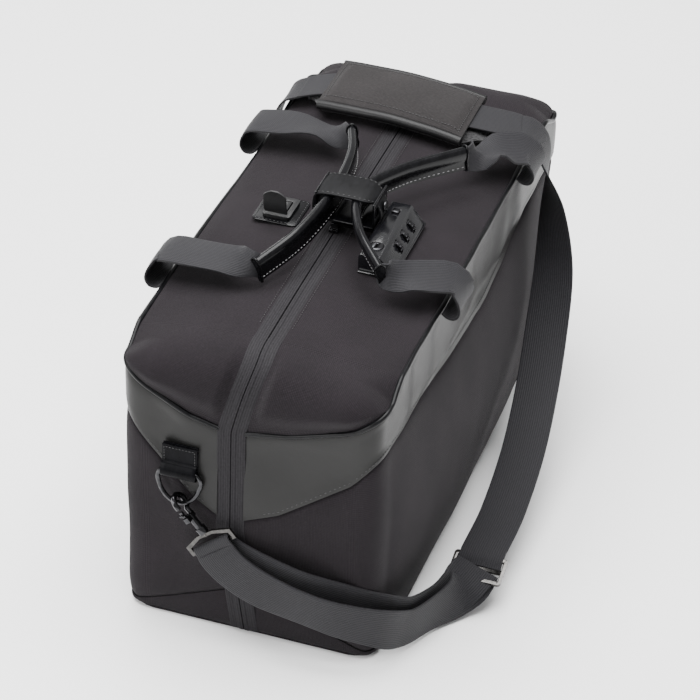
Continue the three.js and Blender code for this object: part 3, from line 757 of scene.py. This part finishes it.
def top_point(side, u, v):
    """Top panel: over both rounded ends, and from the zip to the side seam."""
    y = side * (ZIP_HALF + 0.0003 + (HALF_Y - 0.0014 - ZIP_HALF) * v)
    end = -1 if u < 0.5 else 1
    w = min(u, 1 - u)
    over = max(0, abs(y) - STRAIGHT_Y)
    reach = STRAIGHT_X + CORNER_R * max(1 - (over / CORNER_R) ** SQUARE, 0) ** (1 / SQUARE)
    if w < SHOULDER:
        a = (1 - w / SHOULDER) * math.pi / 2
        x, z = over_end(a, reach, y)
        x *= end
        z = soft_least(z, side_limit(x, v))
        out = Vector((end * math.sin(a), 0, math.cos(a)))
    else:
        x = end * FLAP_HALF * (1 - (w - SHOULDER) / (0.5 - SHOULDER))
        z = top_height(x, y)
        out = Vector((0, 0, 1))
    shift = lean(x, y, z) if end < 0 else 0.0
    edge = min(v * 0.1, (1 - v) * 0.1)
    soft = smooth(edge / 0.015) * smooth(w / 0.03)
    depth = 0.0
    if w < SHOULDER:
        share = w / SHOULDER
        puff = END_PUFF[end] * smooth((1 - share) / 0.75) * smooth(share / 0.2)
        depth = -puff * smooth((1 - v) * 3) * smooth(v / 0.11)
    depth += tuck((1 - v) * 0.1, 0.0012, 0.004) + tuck(w * 0.9, 0.0006)
    depth -= soft * slump(x, y + 0.05 * side, z, 0.9)
    return Vector((x, y + shift, z)) - out * depth


# ---- body panels

SIDES = (("front", -1), ("rear", 1))
ENDS = (("near", -1), ("far", 1))


def shell_panel(word, side):
    def place(u, v):
        x, y, _, _ = rim(side, u)
        low, high = base_seam(x, y) + 0.0006, lower_seam(x, y) - 0.0004
        z = low + (high - low) * v
        reach = high - low
        return wall(side, u, z, tuck(v * reach, 0.0024) + tuck((1 - v) * reach, 0.0030, 0.0022))

    piece = cloth("shell_cloth_" + word, (RIM_LENGTH, 0.19), (230, 46), place, SHELL)
    return finish(piece, "root", "shell_fabric", "shell_" + word)


def band_panel(word, side):
    def place(u, v):
        x, y, _, _ = rim(side, u)
        low, high = lower_seam(x, y) - 0.0004, upper_seam(x, y) - 0.001
        z = low + (high - low) * v
        reach = high - low
        dents = 0.0022 * noise.noise(Vector((x * 24, y * 24, z * 9 + 4)))
        dive = tuck(v * reach, 0.0004, 0.002) + tuck((1 - v) * reach, 0.0018)
        return wall(side, u, z, dive - dents * smooth(v * 4) * smooth((1 - v) * 4) - 0.0006)

    piece = cloth("band_cloth_" + word, (RIM_LENGTH, 0.08), (230, 26), place, BAND)
    return finish(piece, "root", "band_coated_fabric", "band_" + word)


def hem_panel(word, side):
    def place(u, v):
        x, y, _, _ = rim(side, u)
        high = base_seam(x, y) + 0.0006
        z = high * v
        return wall(side, u, z, 0.004 * (1 - smooth(z / 0.005)) + tuck((1 - v) * high, 0.0008))

    piece = cloth("hem_cloth_" + word, (RIM_LENGTH, 0.045), (200, 14), place, SHELL)
    return finish(piece, "root", "shell_fabric", "base_panel")


def base_sheet():
    """Bottom of the bag: a rounded plate of cloth."""
    def place(u, v):
        x, y = (2 * u - 1) * (HALF_X - 0.002), (2 * v - 1) * (HALF_Y - 0.002)
        over = Vector((max(0, abs(x) - STRAIGHT_X), max(0, abs(y) - STRAIGHT_Y)))
        if over.x and over.y:
            reach = max(over.x, over.y)
            over = over.normalized() * reach
            x = math.copysign(STRAIGHT_X + over.x, x)
            y = math.copysign(STRAIGHT_Y + over.y, y)
        return Vector((x, y, 0.0002))

    piece = cloth("base_cloth", (0.5, 0.22), (80, 40), place, SHELL)
    return finish(piece, "root", "shell_fabric", "base_panel")


def seam_row(side):
    """Stitches on the coated band, just over its lower seam."""
    def line(t):
        u = 0.02 + 0.96 * t
        x, y, nx, ny = rim(side, u)
        out = Vector((nx, ny, 0))
        return wall(side, u, lower_seam(x, y) + 0.0035) + out * 0.0004, out
    return line, RIM_LENGTH * 0.96


def piping(word, side):
    points = []
    for i in range(91):
        u = i / 90
        x, y, _, _ = rim(side, u)
        points.append(wall(side, u, upper_seam(x, y) - 0.0006, 0.0003))
    piece = bar("piping_cord_" + word, points, PIPE_R, PIPING, resolution=4, sides=3)
    return finish(piece, "root", "piping_gloss", "piping_" + word)


# ---- top panels and zip

PAD_U = 1 - (SHOULDER + (1 - PAD_X / FLAP_HALF) * (0.5 - SHOULDER))
TOP_LENGTH = 2 * FLAP_HALF + 0.13


def top_panel(word, side, end):
    first, last = (0, PAD_U) if end == "near" else (PAD_U, 1)

    def place(u, v):
        return top_point(side, first + (last - first) * u, v)

    size = (TOP_LENGTH * (last - first), HALF_Y)
    steps = (int(300 * (last - first)), 44)
    piece = cloth("top_cloth_" + word + "_" + end, size, steps, place, SHELL)
    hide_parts("top_" + word, "skirt_" + end + "_" + word)
    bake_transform(piece)
    return piece


def zip_edge_row(side):
    """Stitches beside the zip, where the panel is turned under."""
    def line(t):
        return top_point(side, 0.16 + 0.68 * t, 0.024) + Vector((0, 0, 0.0002)), Vector((0, 0, 1))
    return line, TOP_LENGTH * 0.7


COIL = ((0.0002, 0.0004), (0.0006, 0.0014), (0.0034, 0.0015), (0.0048, 0.0009), (0.0104, 0.0010),
        (0.0118, 0.0006), (0.0125, -0.0014))


def tape_rise(at):
    """Height over the panel line at a distance from the zip's middle."""
    for (d0, h0), (d1, h1) in zip(COIL, COIL[1:]):
        if at <= d1:
            return h0 + (h1 - h0) * smooth((at - d0) / (d1 - d0))
    return COIL[-1][1]


def top_tape(word, side):
    def place(u, v):
        x = FLAP_HALF * (2 * u - 1)
        off = 0.0002 + 0.0122 * v
        return Vector((x, side * off, top_height(x, off) + tape_rise(off) - 0.0006))

    piece = cloth("zip_tape_" + word + "_woven", (2 * FLAP_HALF, 0.0122), (160, 26), place, TAPE, 0.001)
    return finish(piece, word + "_flap", "zip_tape", "zip_tape_" + word)


def end_line(end, t, rise):
    """Zip line over one end: down the shoulder, then down the face."""
    turned = 0.32  # share of the tape that is on the turn
    if t < turned:
        a = t / turned * math.pi / 2
        x, z = over_end(a, HALF_X, 0)
        out = Vector((end * math.sin(a), 0, math.cos(a)))
    else:
        foot = upper_seam(HALF_X, 0) + END_FOOT
        z = foot + (0.003 - foot) * (t - turned) / (1 - turned)
        x = HALF_X + swell(HALF_X, 0, z) + slump(HALF_X, 0, z, 0.5)
        out = Vector((end, 0, 0))
    return Vector((end * x, lean(end * x, 0, z) if end < 0 else 0, z)) + out * rise


END_LENGTH = 0.275


def end_tape(word, end):
    def place(u, v):
        off = TAPE_HALF * (2 * v - 1)
        return end_line(end, u, tape_rise(abs(off)) - 0.0004) + Vector((0, off, 0))

    piece = cloth("zip_end_" + word + "_woven", (END_LENGTH, 2 * TAPE_HALF), (110, 40), place, TAPE, 0.001)
    return finish(piece, "root", "zip_tape", "zip_end_" + word)


# ---- leather end tabs and hardware

def end_tab(word, end):
    low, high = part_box("tab_" + word)
    mid = (low.y + high.y) / 2
    back = min(abs(low.x), abs(high.x))
    half = (high.y - low.y) / 2
    roll_z = (low.z + 0.0044)
    roll_x = back + 0.0048
    path = [(back + 0.0002, high.z), (back + 0.0001, high.z - 0.012), (back + 0.0004, roll_z + 0.006),
            (back + 0.0018, roll_z - 0.0022), (roll_x, roll_z - 0.0042), (roll_x + 0.0036, roll_z - 0.0020),
            (roll_x + 0.0040, roll_z + 0.0020), (back + 0.0062, roll_z + 0.0072),
            (back + 0.0032, high.z - 0.014), (back + 0.0028, high.z)]
    points = [Vector((end * x, mid, z)) for x, z in path]

    def place(u, v):
        centre = spline(points, u)
        return centre + Vector((0, half * (2 * v - 1), 0))

    # The tab takes the darker, duller copy of the black leather, which is painted shade.
    piece = cloth("leather_tab_" + word, (0.05, 0.03), (60, 8), place, SHADED_TAB_LEATHER, 0)
    settle(thicken(piece, 0.0018, 0, 0.0004), 45)
    finish(piece, "root", "leather_black", "tab_" + word)
    front = end * (back + 0.0040)

    def rows(t):
        edge = half - 0.002
        run = 2 * (2 * edge) + 2 * 0.016
        s = t * run
        normal = Vector((end, 0, 0))
        if s < 2 * edge:
            return Vector((front, mid - edge + s, high.z - 0.002)), normal
        s -= 2 * edge
        if s < 0.016:
            return Vector((front, mid + edge, high.z - 0.002 - s)), normal
        s -= 0.016
        if s < 2 * edge:
            return Vector((front, mid + edge - s, high.z - 0.018)), normal
        s -= 2 * edge
        return Vector((front, mid - edge, high.z - 0.018 + s)), normal

    threads = stitching("tab_threads_" + word, [(rows, 4 * half + 0.032)], 0.0030, 0.0022, 0.0003)
    return finish(threads, "root", "leather_black")


def d_ring(word, end):
    wire = 0.0019
    low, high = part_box("dring_" + word)
    mid, top = (low.y + high.y) / 2, high.z - 0.0018
    x = end * (min(abs(low.x), abs(high.x)) + 0.0018)
    points = [Vector((x, mid + y, top - 0.0002)) for y in (-0.0145, -0.007, 0, 0.007, 0.0145)]
    for a in (4, 22, 42, 66, 90, 114, 138, 158, 176):
        s = math.sin(math.radians(a))
        c = math.cos(math.radians(a))
        points.append(Vector((x + end * 0.0030 * s, mid + 0.0183 * c, top - 0.0045 - 0.0240 * s)))
    piece = bar("d_ring_" + word, points, wire, GUNMETAL, closed=True, resolution=5)
    return finish(piece, "dring_" + word, "gunmetal", "dring_" + word)


HARDWARE = ("hook_near", "hook_far", "gate_near", "gate_far", "loop_near", "loop_far", "adjuster")


def hardware():
    """Cast parts keep their shape, with rounded edges."""
    bodies = {"loop_near": "swivel_near", "loop_far": "swivel_far"}
    for node in HARDWARE:
        flat = node.startswith("loop") or node == "adjuster"
        material = PLATED if flat else GUNMETAL
        dress(node, bodies.get(node, node), "gunmetal", material, 0.00035, 2, 0.5)


# ---- shoulder strap

def mm(*values):
    return tuple(v * 0.001 for v in values)


def stations(*rows):
    """Rows of (x, y, z in mm, direction across, optional width share)."""
    return [(mm(*row[0:3]), row[3], *row[4:]) for row in rows]


FOLD_OUTER = stations(
    (-265.5, 22.5, 92.3, (0, -0.78, 0.63)), (-266.6, 17.8, 86.6, (0, -0.78, 0.63)),
    (-269.5, 4, 78, (0, -0.66, 0.75)), (-272, -18, 69.5, (0, -0.35, 0.93)),
    (-271.5, -49, 61, (-0.12, 0, 1)), (-268, -82, 53, (-0.1, 0, 1)), (-253, -113, 41, (0, -0.1, 1)),
    (-228, -129, 25.5, (0, -0.1, 1)), (-196, -144, 22.5, (-0.1, 0, 1)), (-173, -155, 22, (-0.15, 0.4, 1)),
    (-157, -161, 26, (-0.2, 0.9, 0.5)), (-141, -163, 29.2, (0, 1, 0.1)))
FOLD_INNER = stations(
    (-258.5, 22.5, 92.3, (0, -0.78, 0.63)), (-259.6, 17.4, 88.4, (0, -0.72, 0.69)),
    (-262, 3, 84.5, (0, -0.55, 0.83)), (-264, -18, 80, (0, -0.3, 0.95)),
    (-263, -48, 73, (-0.1, 0, 1)), (-258, -78, 64, (0, 0, 1)), (-245, -106, 50, (0, 0, 1)),
    (-224, -126, 34, (0, 0, 1)), (-196, -140, 27, (0, 0.1, 1)), (-174, -150, 26, (-0.1, 0.5, 1)),
    (-158, -158, 29.5, (-0.1, 0.9, 0.5)), (-141, -163, 32.5, (0, 1, 0.1)))
FRONT_RUN = stations(
    (-139, -163, 31, (0, 1, 0)), (-124, -163, 35.5, (0, 1, 0)), (-75, -165, 41, (0, 1, 0)),
    (-10, -163, 57, (0, 1, 0)), (49, -157, 80, (0, 1, 0)), (94, -151, 112, (0, 1, 0)),
    (130, -145, 155, (0.3, 1, 0)), (154, -134, 205, (1, 1, 0)), (166, -122, 246, (1, 0.1, 0)),
    (167, -116, 260, (1, 0, 0)), (166, -106, 269, (1, 0, 0)), (163, -94, 272, (1, 0, 0)))
TOP_RUN = stations(
    (165, -99, 271, (1, 0, 0)), (161, -84, 275, (1, 0, 0)), (155, -62, 279.5, (1, 0, 0)),
    (151, -40, 283.2, (1, 0, 0)), (155, 10, 284, (1, 0, 0)), (161, 60, 282, (1, 0, 0)),
    (162, 80, 278.5, (1, 0, 0)), (161, 102, 271.5, (1, 0, 0)))
REAR_RUN = stations(
    (161, 97, 273, (1, 0, 0)), (160.5, 112, 266, (1, 0, 0)), (160, 119, 256, (1, 0, 0)),
    (160, 128, 232, (1, 0, 0)), (169, 137, 185, (1, 0, 0.3)), (190, 142, 140, (1, 0, 0.7)),
    (221, 139, 106, (0.6, 0, 1)), (250, 127, 87, (0.1, 0.2, 1)), (263.5, 109, 82, (0, 0.6, 0.8)),
    (266, 96, 84.8, (0, 0.78, 0.63)), (265.5, 89.5, 92.3, (0, 0.78, 0.63)))


def strap_edge_rows(rows, width, at):
    """Stitch rows across a strap at shares of its length, on both faces."""
    route = Route(rows)
    inner = width - 0.006

    def row(centre, across, out):
        return lambda t: (centre + across * inner * (t - 0.5) + out * (WEB_T / 2), out), inner

    lines = []
    for share in at:
        centre, across, up = route.frame(share)
        lines += [row(centre, across, -up), row(centre, across, up)]
    return lines


def shoulder_strap():
    outer = band("strap_fold_outer", FOLD_OUTER, WEB_W, WEBBING, cup=0.0006)
    finish(outer, "root", "webbing", "strap_fold")
    inner = band("strap_fold_inner", FOLD_INNER, WEB_W, WEBBING, cup=-0.0004)
    finish(inner, "root", "webbing", "strap_fold")
    for word, end, side, tail in (("near", -1, -1, 4), ("far", 1, 1, 11)):
        away = Vector((0, side * 0.629, -0.777))
        bar_at = Vector((end * 0.2620, 0.025 if side < 0 else 0.087, 0.0954))
        rows = []
        for out, down in ((3.5, 5), (3.5, 0), (2.6, -2.7), (0, -3.8), (-2.6, -2.7), (-3.5, 0), (-3.5, tail)):
            spot = bar_at + Vector((end * out, 0, 0)) * 0.001 + away * down * 0.001
            rows.append((spot, (0, 0.777 * side, 0.629)))
        nose = band("strap_turn_" + word, rows, WEB_W - 0.001, WEBBING)
        finish(nose, "root", "webbing")
    front = band("strap_long_front", FRONT_RUN, WEB_W, WEBBING, cup=0.0008)
    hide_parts("strap_front_run")
    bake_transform(front)
    top = band("strap_over_top", TOP_RUN, WEB_W, WEBBING, cup=0.0004)
    finish(top, "rear_flap", "webbing", "strap_top")
    rear = band("strap_down_rear", REAR_RUN, WEB_W, WEBBING, cup=0.0008)
    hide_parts("strap_rear_run")
    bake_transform(rear)
    rows = strap_edge_rows(FOLD_OUTER, WEB_W, (0.905, 0.86))
    rows += strap_edge_rows(REAR_RUN, WEB_W, (0.93, 0.905))
    finish(stitching("strap_threads", rows), "root", "webbing")


# ---- shoulder pad

def pad_shape(u, v, y0, y1, half, z, crown, tip):
    """Crowned pad outline with narrowed, rounded tips."""
    y = y0 + (y1 - y0) * u
    ends = min(u, 1 - u) * (y1 - y0)
    narrow = 1 - tip * (1 - smooth(min(ends / 0.022, 1)))
    side = 2 * v - 1
    x = PAD_X + PAD_DRIFT + PAD_SKEW * y + half * narrow * side
    lift = -0.009 * ((y - 0.008) / 0.1) ** 2
    puff = crown * (1 - abs(side) ** 3.2) * smooth(min(ends / 0.012, 1))
    return Vector((x, y, z + lift + puff + 0.0007 * noise.noise(Vector((x * 30, y * 30, 2)))))


def shoulder_pad():
    def layer(name, node, trim, counts, height, crown, tip, material, thickness, edge, segments):
        low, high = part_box(node)
        y0, y1, half = low.y + trim, high.y - trim, (high.x - low.x) / 2

        def place(u, v):
            return pad_shape(u, v, y0, y1, half, height, crown, tip)

        piece = cloth(name, (y1 - y0, 2 * half), counts, place, material, 0, outside=(PAD_X, 0, 0.2))
        settle(thicken(piece, thickness, -1, edge, segments, 0.8), 60)
        return piece, place, y1 - y0, 2 * half

    cushion = layer("pad_mesh_cushion", "pad_cushion", 0.001, (90, 40), 0.2772, 0.0026, 0.55, MESH,
                    0.0038, 0.0012, 3)[0]
    finish(cushion, "pad", "pad_fabric", "pad_cushion")
    cover, over, long, wide = layer("pad_top_cover", "pad_cover", 0, (80, 40), 0.2868, 0.0052, 0,
                                    PAD_CLOTH, 0.0022, 0.0007, 2)
    finish(cover, "pad", "pad_fabric", "pad_cover")
    for name, side in (("left", 0.0), ("right", 1.0)):
        points = [over(0.004 + 0.992 * i / 24, side) for i in range(25)]
        points = [p + Vector(((side - 0.5) * 0.003, 0, -0.0040)) for p in points]
        edge = bar("pad_binding_" + name, points, 0.0044, PAD_EDGE, resolution=3, sides=3)
        finish(edge, "pad", "pad_fabric")

    up = Vector((0, 0, 1))
    lift = up * 0.0003

    def across(u):
        return lambda t: (over(u, 0.04 + 0.92 * t) + lift, up), wide

    def lengthwise(v):
        return lambda t: (over(0.03 + 0.94 * t, v) + lift, up), long

    rows = [across(0.035), across(0.965), lengthwise(0.085), lengthwise(0.915)]
    finish(stitching("pad_threads", rows), "pad", "pad_fabric")


# ---- carrying handles

GRIPS = {
    "rear": [mm(-145, 32, 286), mm(-100, 12, 294), mm(-40, 3, 299), mm(20, 8, 298), mm(64, 22, 294)],
    "front": [mm(-126, -66, 292), mm(-84, -34, 298), mm(-35, -19, 299), mm(12, -38, 298), mm(65, -78, 294)],
}
TAILS = {"rear": (-131, 88), "front": (-90, 125)}
GRIP_SECTION = ((0.0000, 0.0103), (0.0022, 0.0097), (0.0036, 0.0078), (0.0040, 0.0050), (0.0036, 0.0020),
                (0.0026, -0.0010), (0.0017, -0.0034), (0.0015, -0.0096), (0.0008, -0.0100),
                (-0.0008, -0.0100), (-0.0015, -0.0096), (-0.0017, -0.0034), (-0.0026, -0.0010),
                (-0.0036, 0.0020), (-0.0040, 0.0050), (-0.0036, 0.0078), (-0.0022, 0.0097))


def handle_grip(word):
    points = [Vector(p) for p in GRIPS[word]]
    length = curve_length(points)
    upright = Vector((0, 0.25, 1)).normalized()

    def frame_at(t):
        go = (spline(points, min(t + 0.004, 1)) - spline(points, max(t - 0.004, 0))).normalized()
        up = (upright - go * go.dot(upright)).normalized()
        return spline(points, t), up.cross(go).normalized(), up

    grip = sweep("leather_grip_" + word, frame_at, GRIP_SECTION, 110, (length, 0.05), LEATHER)
    finish(grip, word + "_handle", "leather_black", "grip_" + word)

    def row(face, height):
        def line(t):
            centre, out, up = frame_at(0.01 + 0.98 * t)
            return centre + out * face * 0.0016 + up * height, out * face
        return line, length

    rows = [row(1, -0.0072), row(-1, -0.0072)]
    threads = stitching("grip_threads_" + word, rows, 0.0040, 0.0027, 0.00042, THREAD)
    finish(threads, word + "_handle", "leather_black")
    for tag, t in (("start", 0.004), ("end", 0.996)):
        centre, out, up = frame_at(t)
        go = out.cross(up)
        ring = [centre + out * a * 1.12 + up * (b * 1.1) + go * 0.0001 for a, b in GRIP_SECTION[::2]]
        collar = bar("grip_collar_" + word + "_" + tag, ring, 0.0009, LEATHER, True, 2, 2)
        finish(collar, word + "_handle", "leather_black")


def handle_tail(word, side, tag, foot, end, beyond, run):
    end, beyond = Vector(end) * 1000, Vector(beyond) * 1000
    root = end - (beyond - end).normalized() * -6
    wide = (1, 0, 0)

    def mix(a, b, t):
        return a + (b - a) * t

    rows = stations(
        (foot, side * 112.4, 256.0, wide), (foot, side * 117, 252.4, wide), (foot, side * 123.5, 252.6, wide),
        (foot, side * 127, 259, wide), (foot + run * 1, side * 124, 269, wide),
        (foot + run * 3, side * 115, 277, wide),
        (mix(foot, end.x, 0.3), mix(side * 110, end.y, 0.3), 283.5, wide),
        (mix(foot, end.x, 0.62), mix(side * 110, end.y, 0.68), 287.5, (1, 0.1 * run, 0.22 * run), 0.82),
        (mix(foot, end.x, 0.9), mix(side * 110, end.y, 0.9), 290.5, (0.55, 0.1, 0.8), 0.6),
        (root.x, root.y, root.z - 0.5, (run * 0.2, 0.3, 1), 0.44))
    piece = band("handle_web_" + word + "_" + tag, rows, WEB_W, WEBBING, cup=0.001)
    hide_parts("tail_" + word + "_" + tag)
    foot_at, grip_at = (0, side * 0.134, 0.25), (0, side * 0.112, 0.285)
    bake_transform(piece)
    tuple(foot_at)
    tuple(grip_at)
    return piece


def carrying_wrap():
    """Leather wrap that holds both grips together, with its snap."""
    dress("wrap_saddle", "rear_handle", "leather_black", LEATHER, 0.0009, 3)
    low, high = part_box("wrap_flap")
    mid = (low.x + high.x) / 2
    over = [Vector((mid, y * 0.001, z * 0.001)) for y, z in (
        (17.2, 287), (17.8, 299), (15.2, 309), (4, 312), (-10, 312.2), (-24, 311.6), (-33.6, 307.5),
        (-39, 298), (-39.4, 290.5))]

    def place(u, v):
        half = (high.x - low.x) / 2 * (1 - 0.42 * smooth((u - 0.62) / 0.2))
        side = 2 * v - 1
        return spline(over, u) + Vector((half * side, 0, -0.0016 * side * side * math.sin(math.pi * u)))

    flap = cloth("wrap_leather", (0.09, 0.034), (60, 18), place, WRAP_LEATHER, 0.0,
                 outside=(mid, -0.01, 0.295))
    settle(thicken(flap, 0.0018, -1, 0.0004), 50)
    finish(flap, "wrap_flap", "leather_black", "wrap_flap")
    dress("wrap_snap", "wrap_flap", "gunmetal", GUNMETAL, 0.0007, 3)
    rows = []
    for v in (0.07, 0.93):
        def line(t, v=v):
            here = place(0.22 + 0.74 * t, v)
            go = place(0.23 + 0.74 * t, v) - here
            normal = Vector((1, 0, 0)).cross(go).normalized()
            return here, normal if normal.z > -0.2 else -normal
        rows.append((line, 0.06))
    finish(stitching("wrap_threads", rows), "wrap_flap", "leather_black")


# ---- lock, outlet and zip pulls

def combination_lock():
    dress("lock_base", "front_flap", "lock_gloss", LOCK_GLOSS, 0.0005)
    dress("lock_cover", "front_flap", "lock_gloss", LOCK_GLOSS, 0.0009, 3)
    for i in "123":
        dress("lock_dial_" + i, "dial_" + i, "lock_metal", LOCK_METAL, 0.00025, 1)
    dress("lock_key_core", "lock_key", "lock_metal", LOCK_METAL)
    dress("lock_button", "lock_button", "lock_metal", LOCK_METAL, 0.0006)


def outlet():
    dress("usb_patch", "rear_flap", "leather_black", LEATHER, 0.0005)
    dress("usb_frame", "rear_flap", "outlet_plastic", OUTLET, 0.0006, 3)
    dress("usb_socket", "rear_flap", "outlet_plastic", OUTLET, 0.0003)
    low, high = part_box("usb_flap")
    foot = Vector((high.x - 0.0012, (low.y + high.y) / 2, low.z + 0.0016))
    tip = Vector((low.x + 0.0010, (low.y + high.y) / 2, high.z - 0.0010))

    def leaf(u, v):
        half = (high.y - low.y) / 2 * (1 - 0.75 * max(0, (u - 0.72) / 0.28) ** 2)
        curl = 0.0022 * math.sin(math.pi * u) * (1 - u)
        return foot.lerp(tip, u) + Vector((-curl, half * (2 * v - 1), 0))

    cover = cloth("outlet_cover", (0.025, 0.02), (26, 16), leaf, RUBBER, 0.0, outside=(0, foot.y, 0.28))
    settle(thicken(cover, 0.0015, 0, 0.0004, 2, 0.9), 50)
    finish(cover, "usb_flap", "cover_rubber", "usb_flap")
    low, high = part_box("usb_patch")
    mid = (low + high) / 2
    half = (high.x - low.x) / 2 - 0.002

    def line(t):
        side, f = int(t * 4) % 4, (t * 4) % 1
        run = half * (2 * f - 1)
        spot = ((run, -half), (half, run), (-run, half), (-half, -run))[side]
        return Vector((mid.x + spot[0], mid.y + spot[1], high.z)), Vector((0, 0, 1))

    finish(stitching("outlet_threads", [(line, 8 * half)]), "rear_flap", "leather_black")


def zip_pulls():
    for word, _ in ENDS:
        dress("slider_" + word, "slider_" + word, "gunmetal", GUNMETAL, 0.0006, 3)
        dress("puller_" + word, "puller_" + word, "gunmetal", GUNMETAL)


def inside():
    for node, material in (("lining", LINING_PLAIN), ("base_board", BOARD)):
        data = frame["nodes"][node].data
        data.materials.clear()
        data.materials.append(material)


# ---- assembly

def build_bag():
    for word, side in SIDES:
        shell_panel(word, side)
        band_panel(word, side)
        hem_panel(word, side)
        piping(word, side)
        top_panel(word, side, "near")
        top_panel(word, side, "far")
        top_tape(word, side)
        finish(stitching("seam_threads_" + word, [seam_row(side)]), "root", "shell_fabric")
        finish(stitching("zip_threads_" + word, [zip_edge_row(side)]), word + "_flap", "shell_fabric")
    base_sheet()
    for word, end in ENDS:
        end_tape(word, end)
        end_tab(word, end)
        d_ring(word, end)
    hardware()
    shoulder_strap()
    shoulder_pad()
    for word, side in SIDES:
        handle_grip(word)
        ends = GRIPS[word]
        handle_tail(word, side, "near", TAILS[word][0], ends[0], ends[1], 1)
        handle_tail(word, side, "far", TAILS[word][1], ends[-1], ends[-2], -1)
    carrying_wrap()
    combination_lock()
    outlet()
    zip_pulls()
    inside()


make_camera()
make_studio()
build_bag()
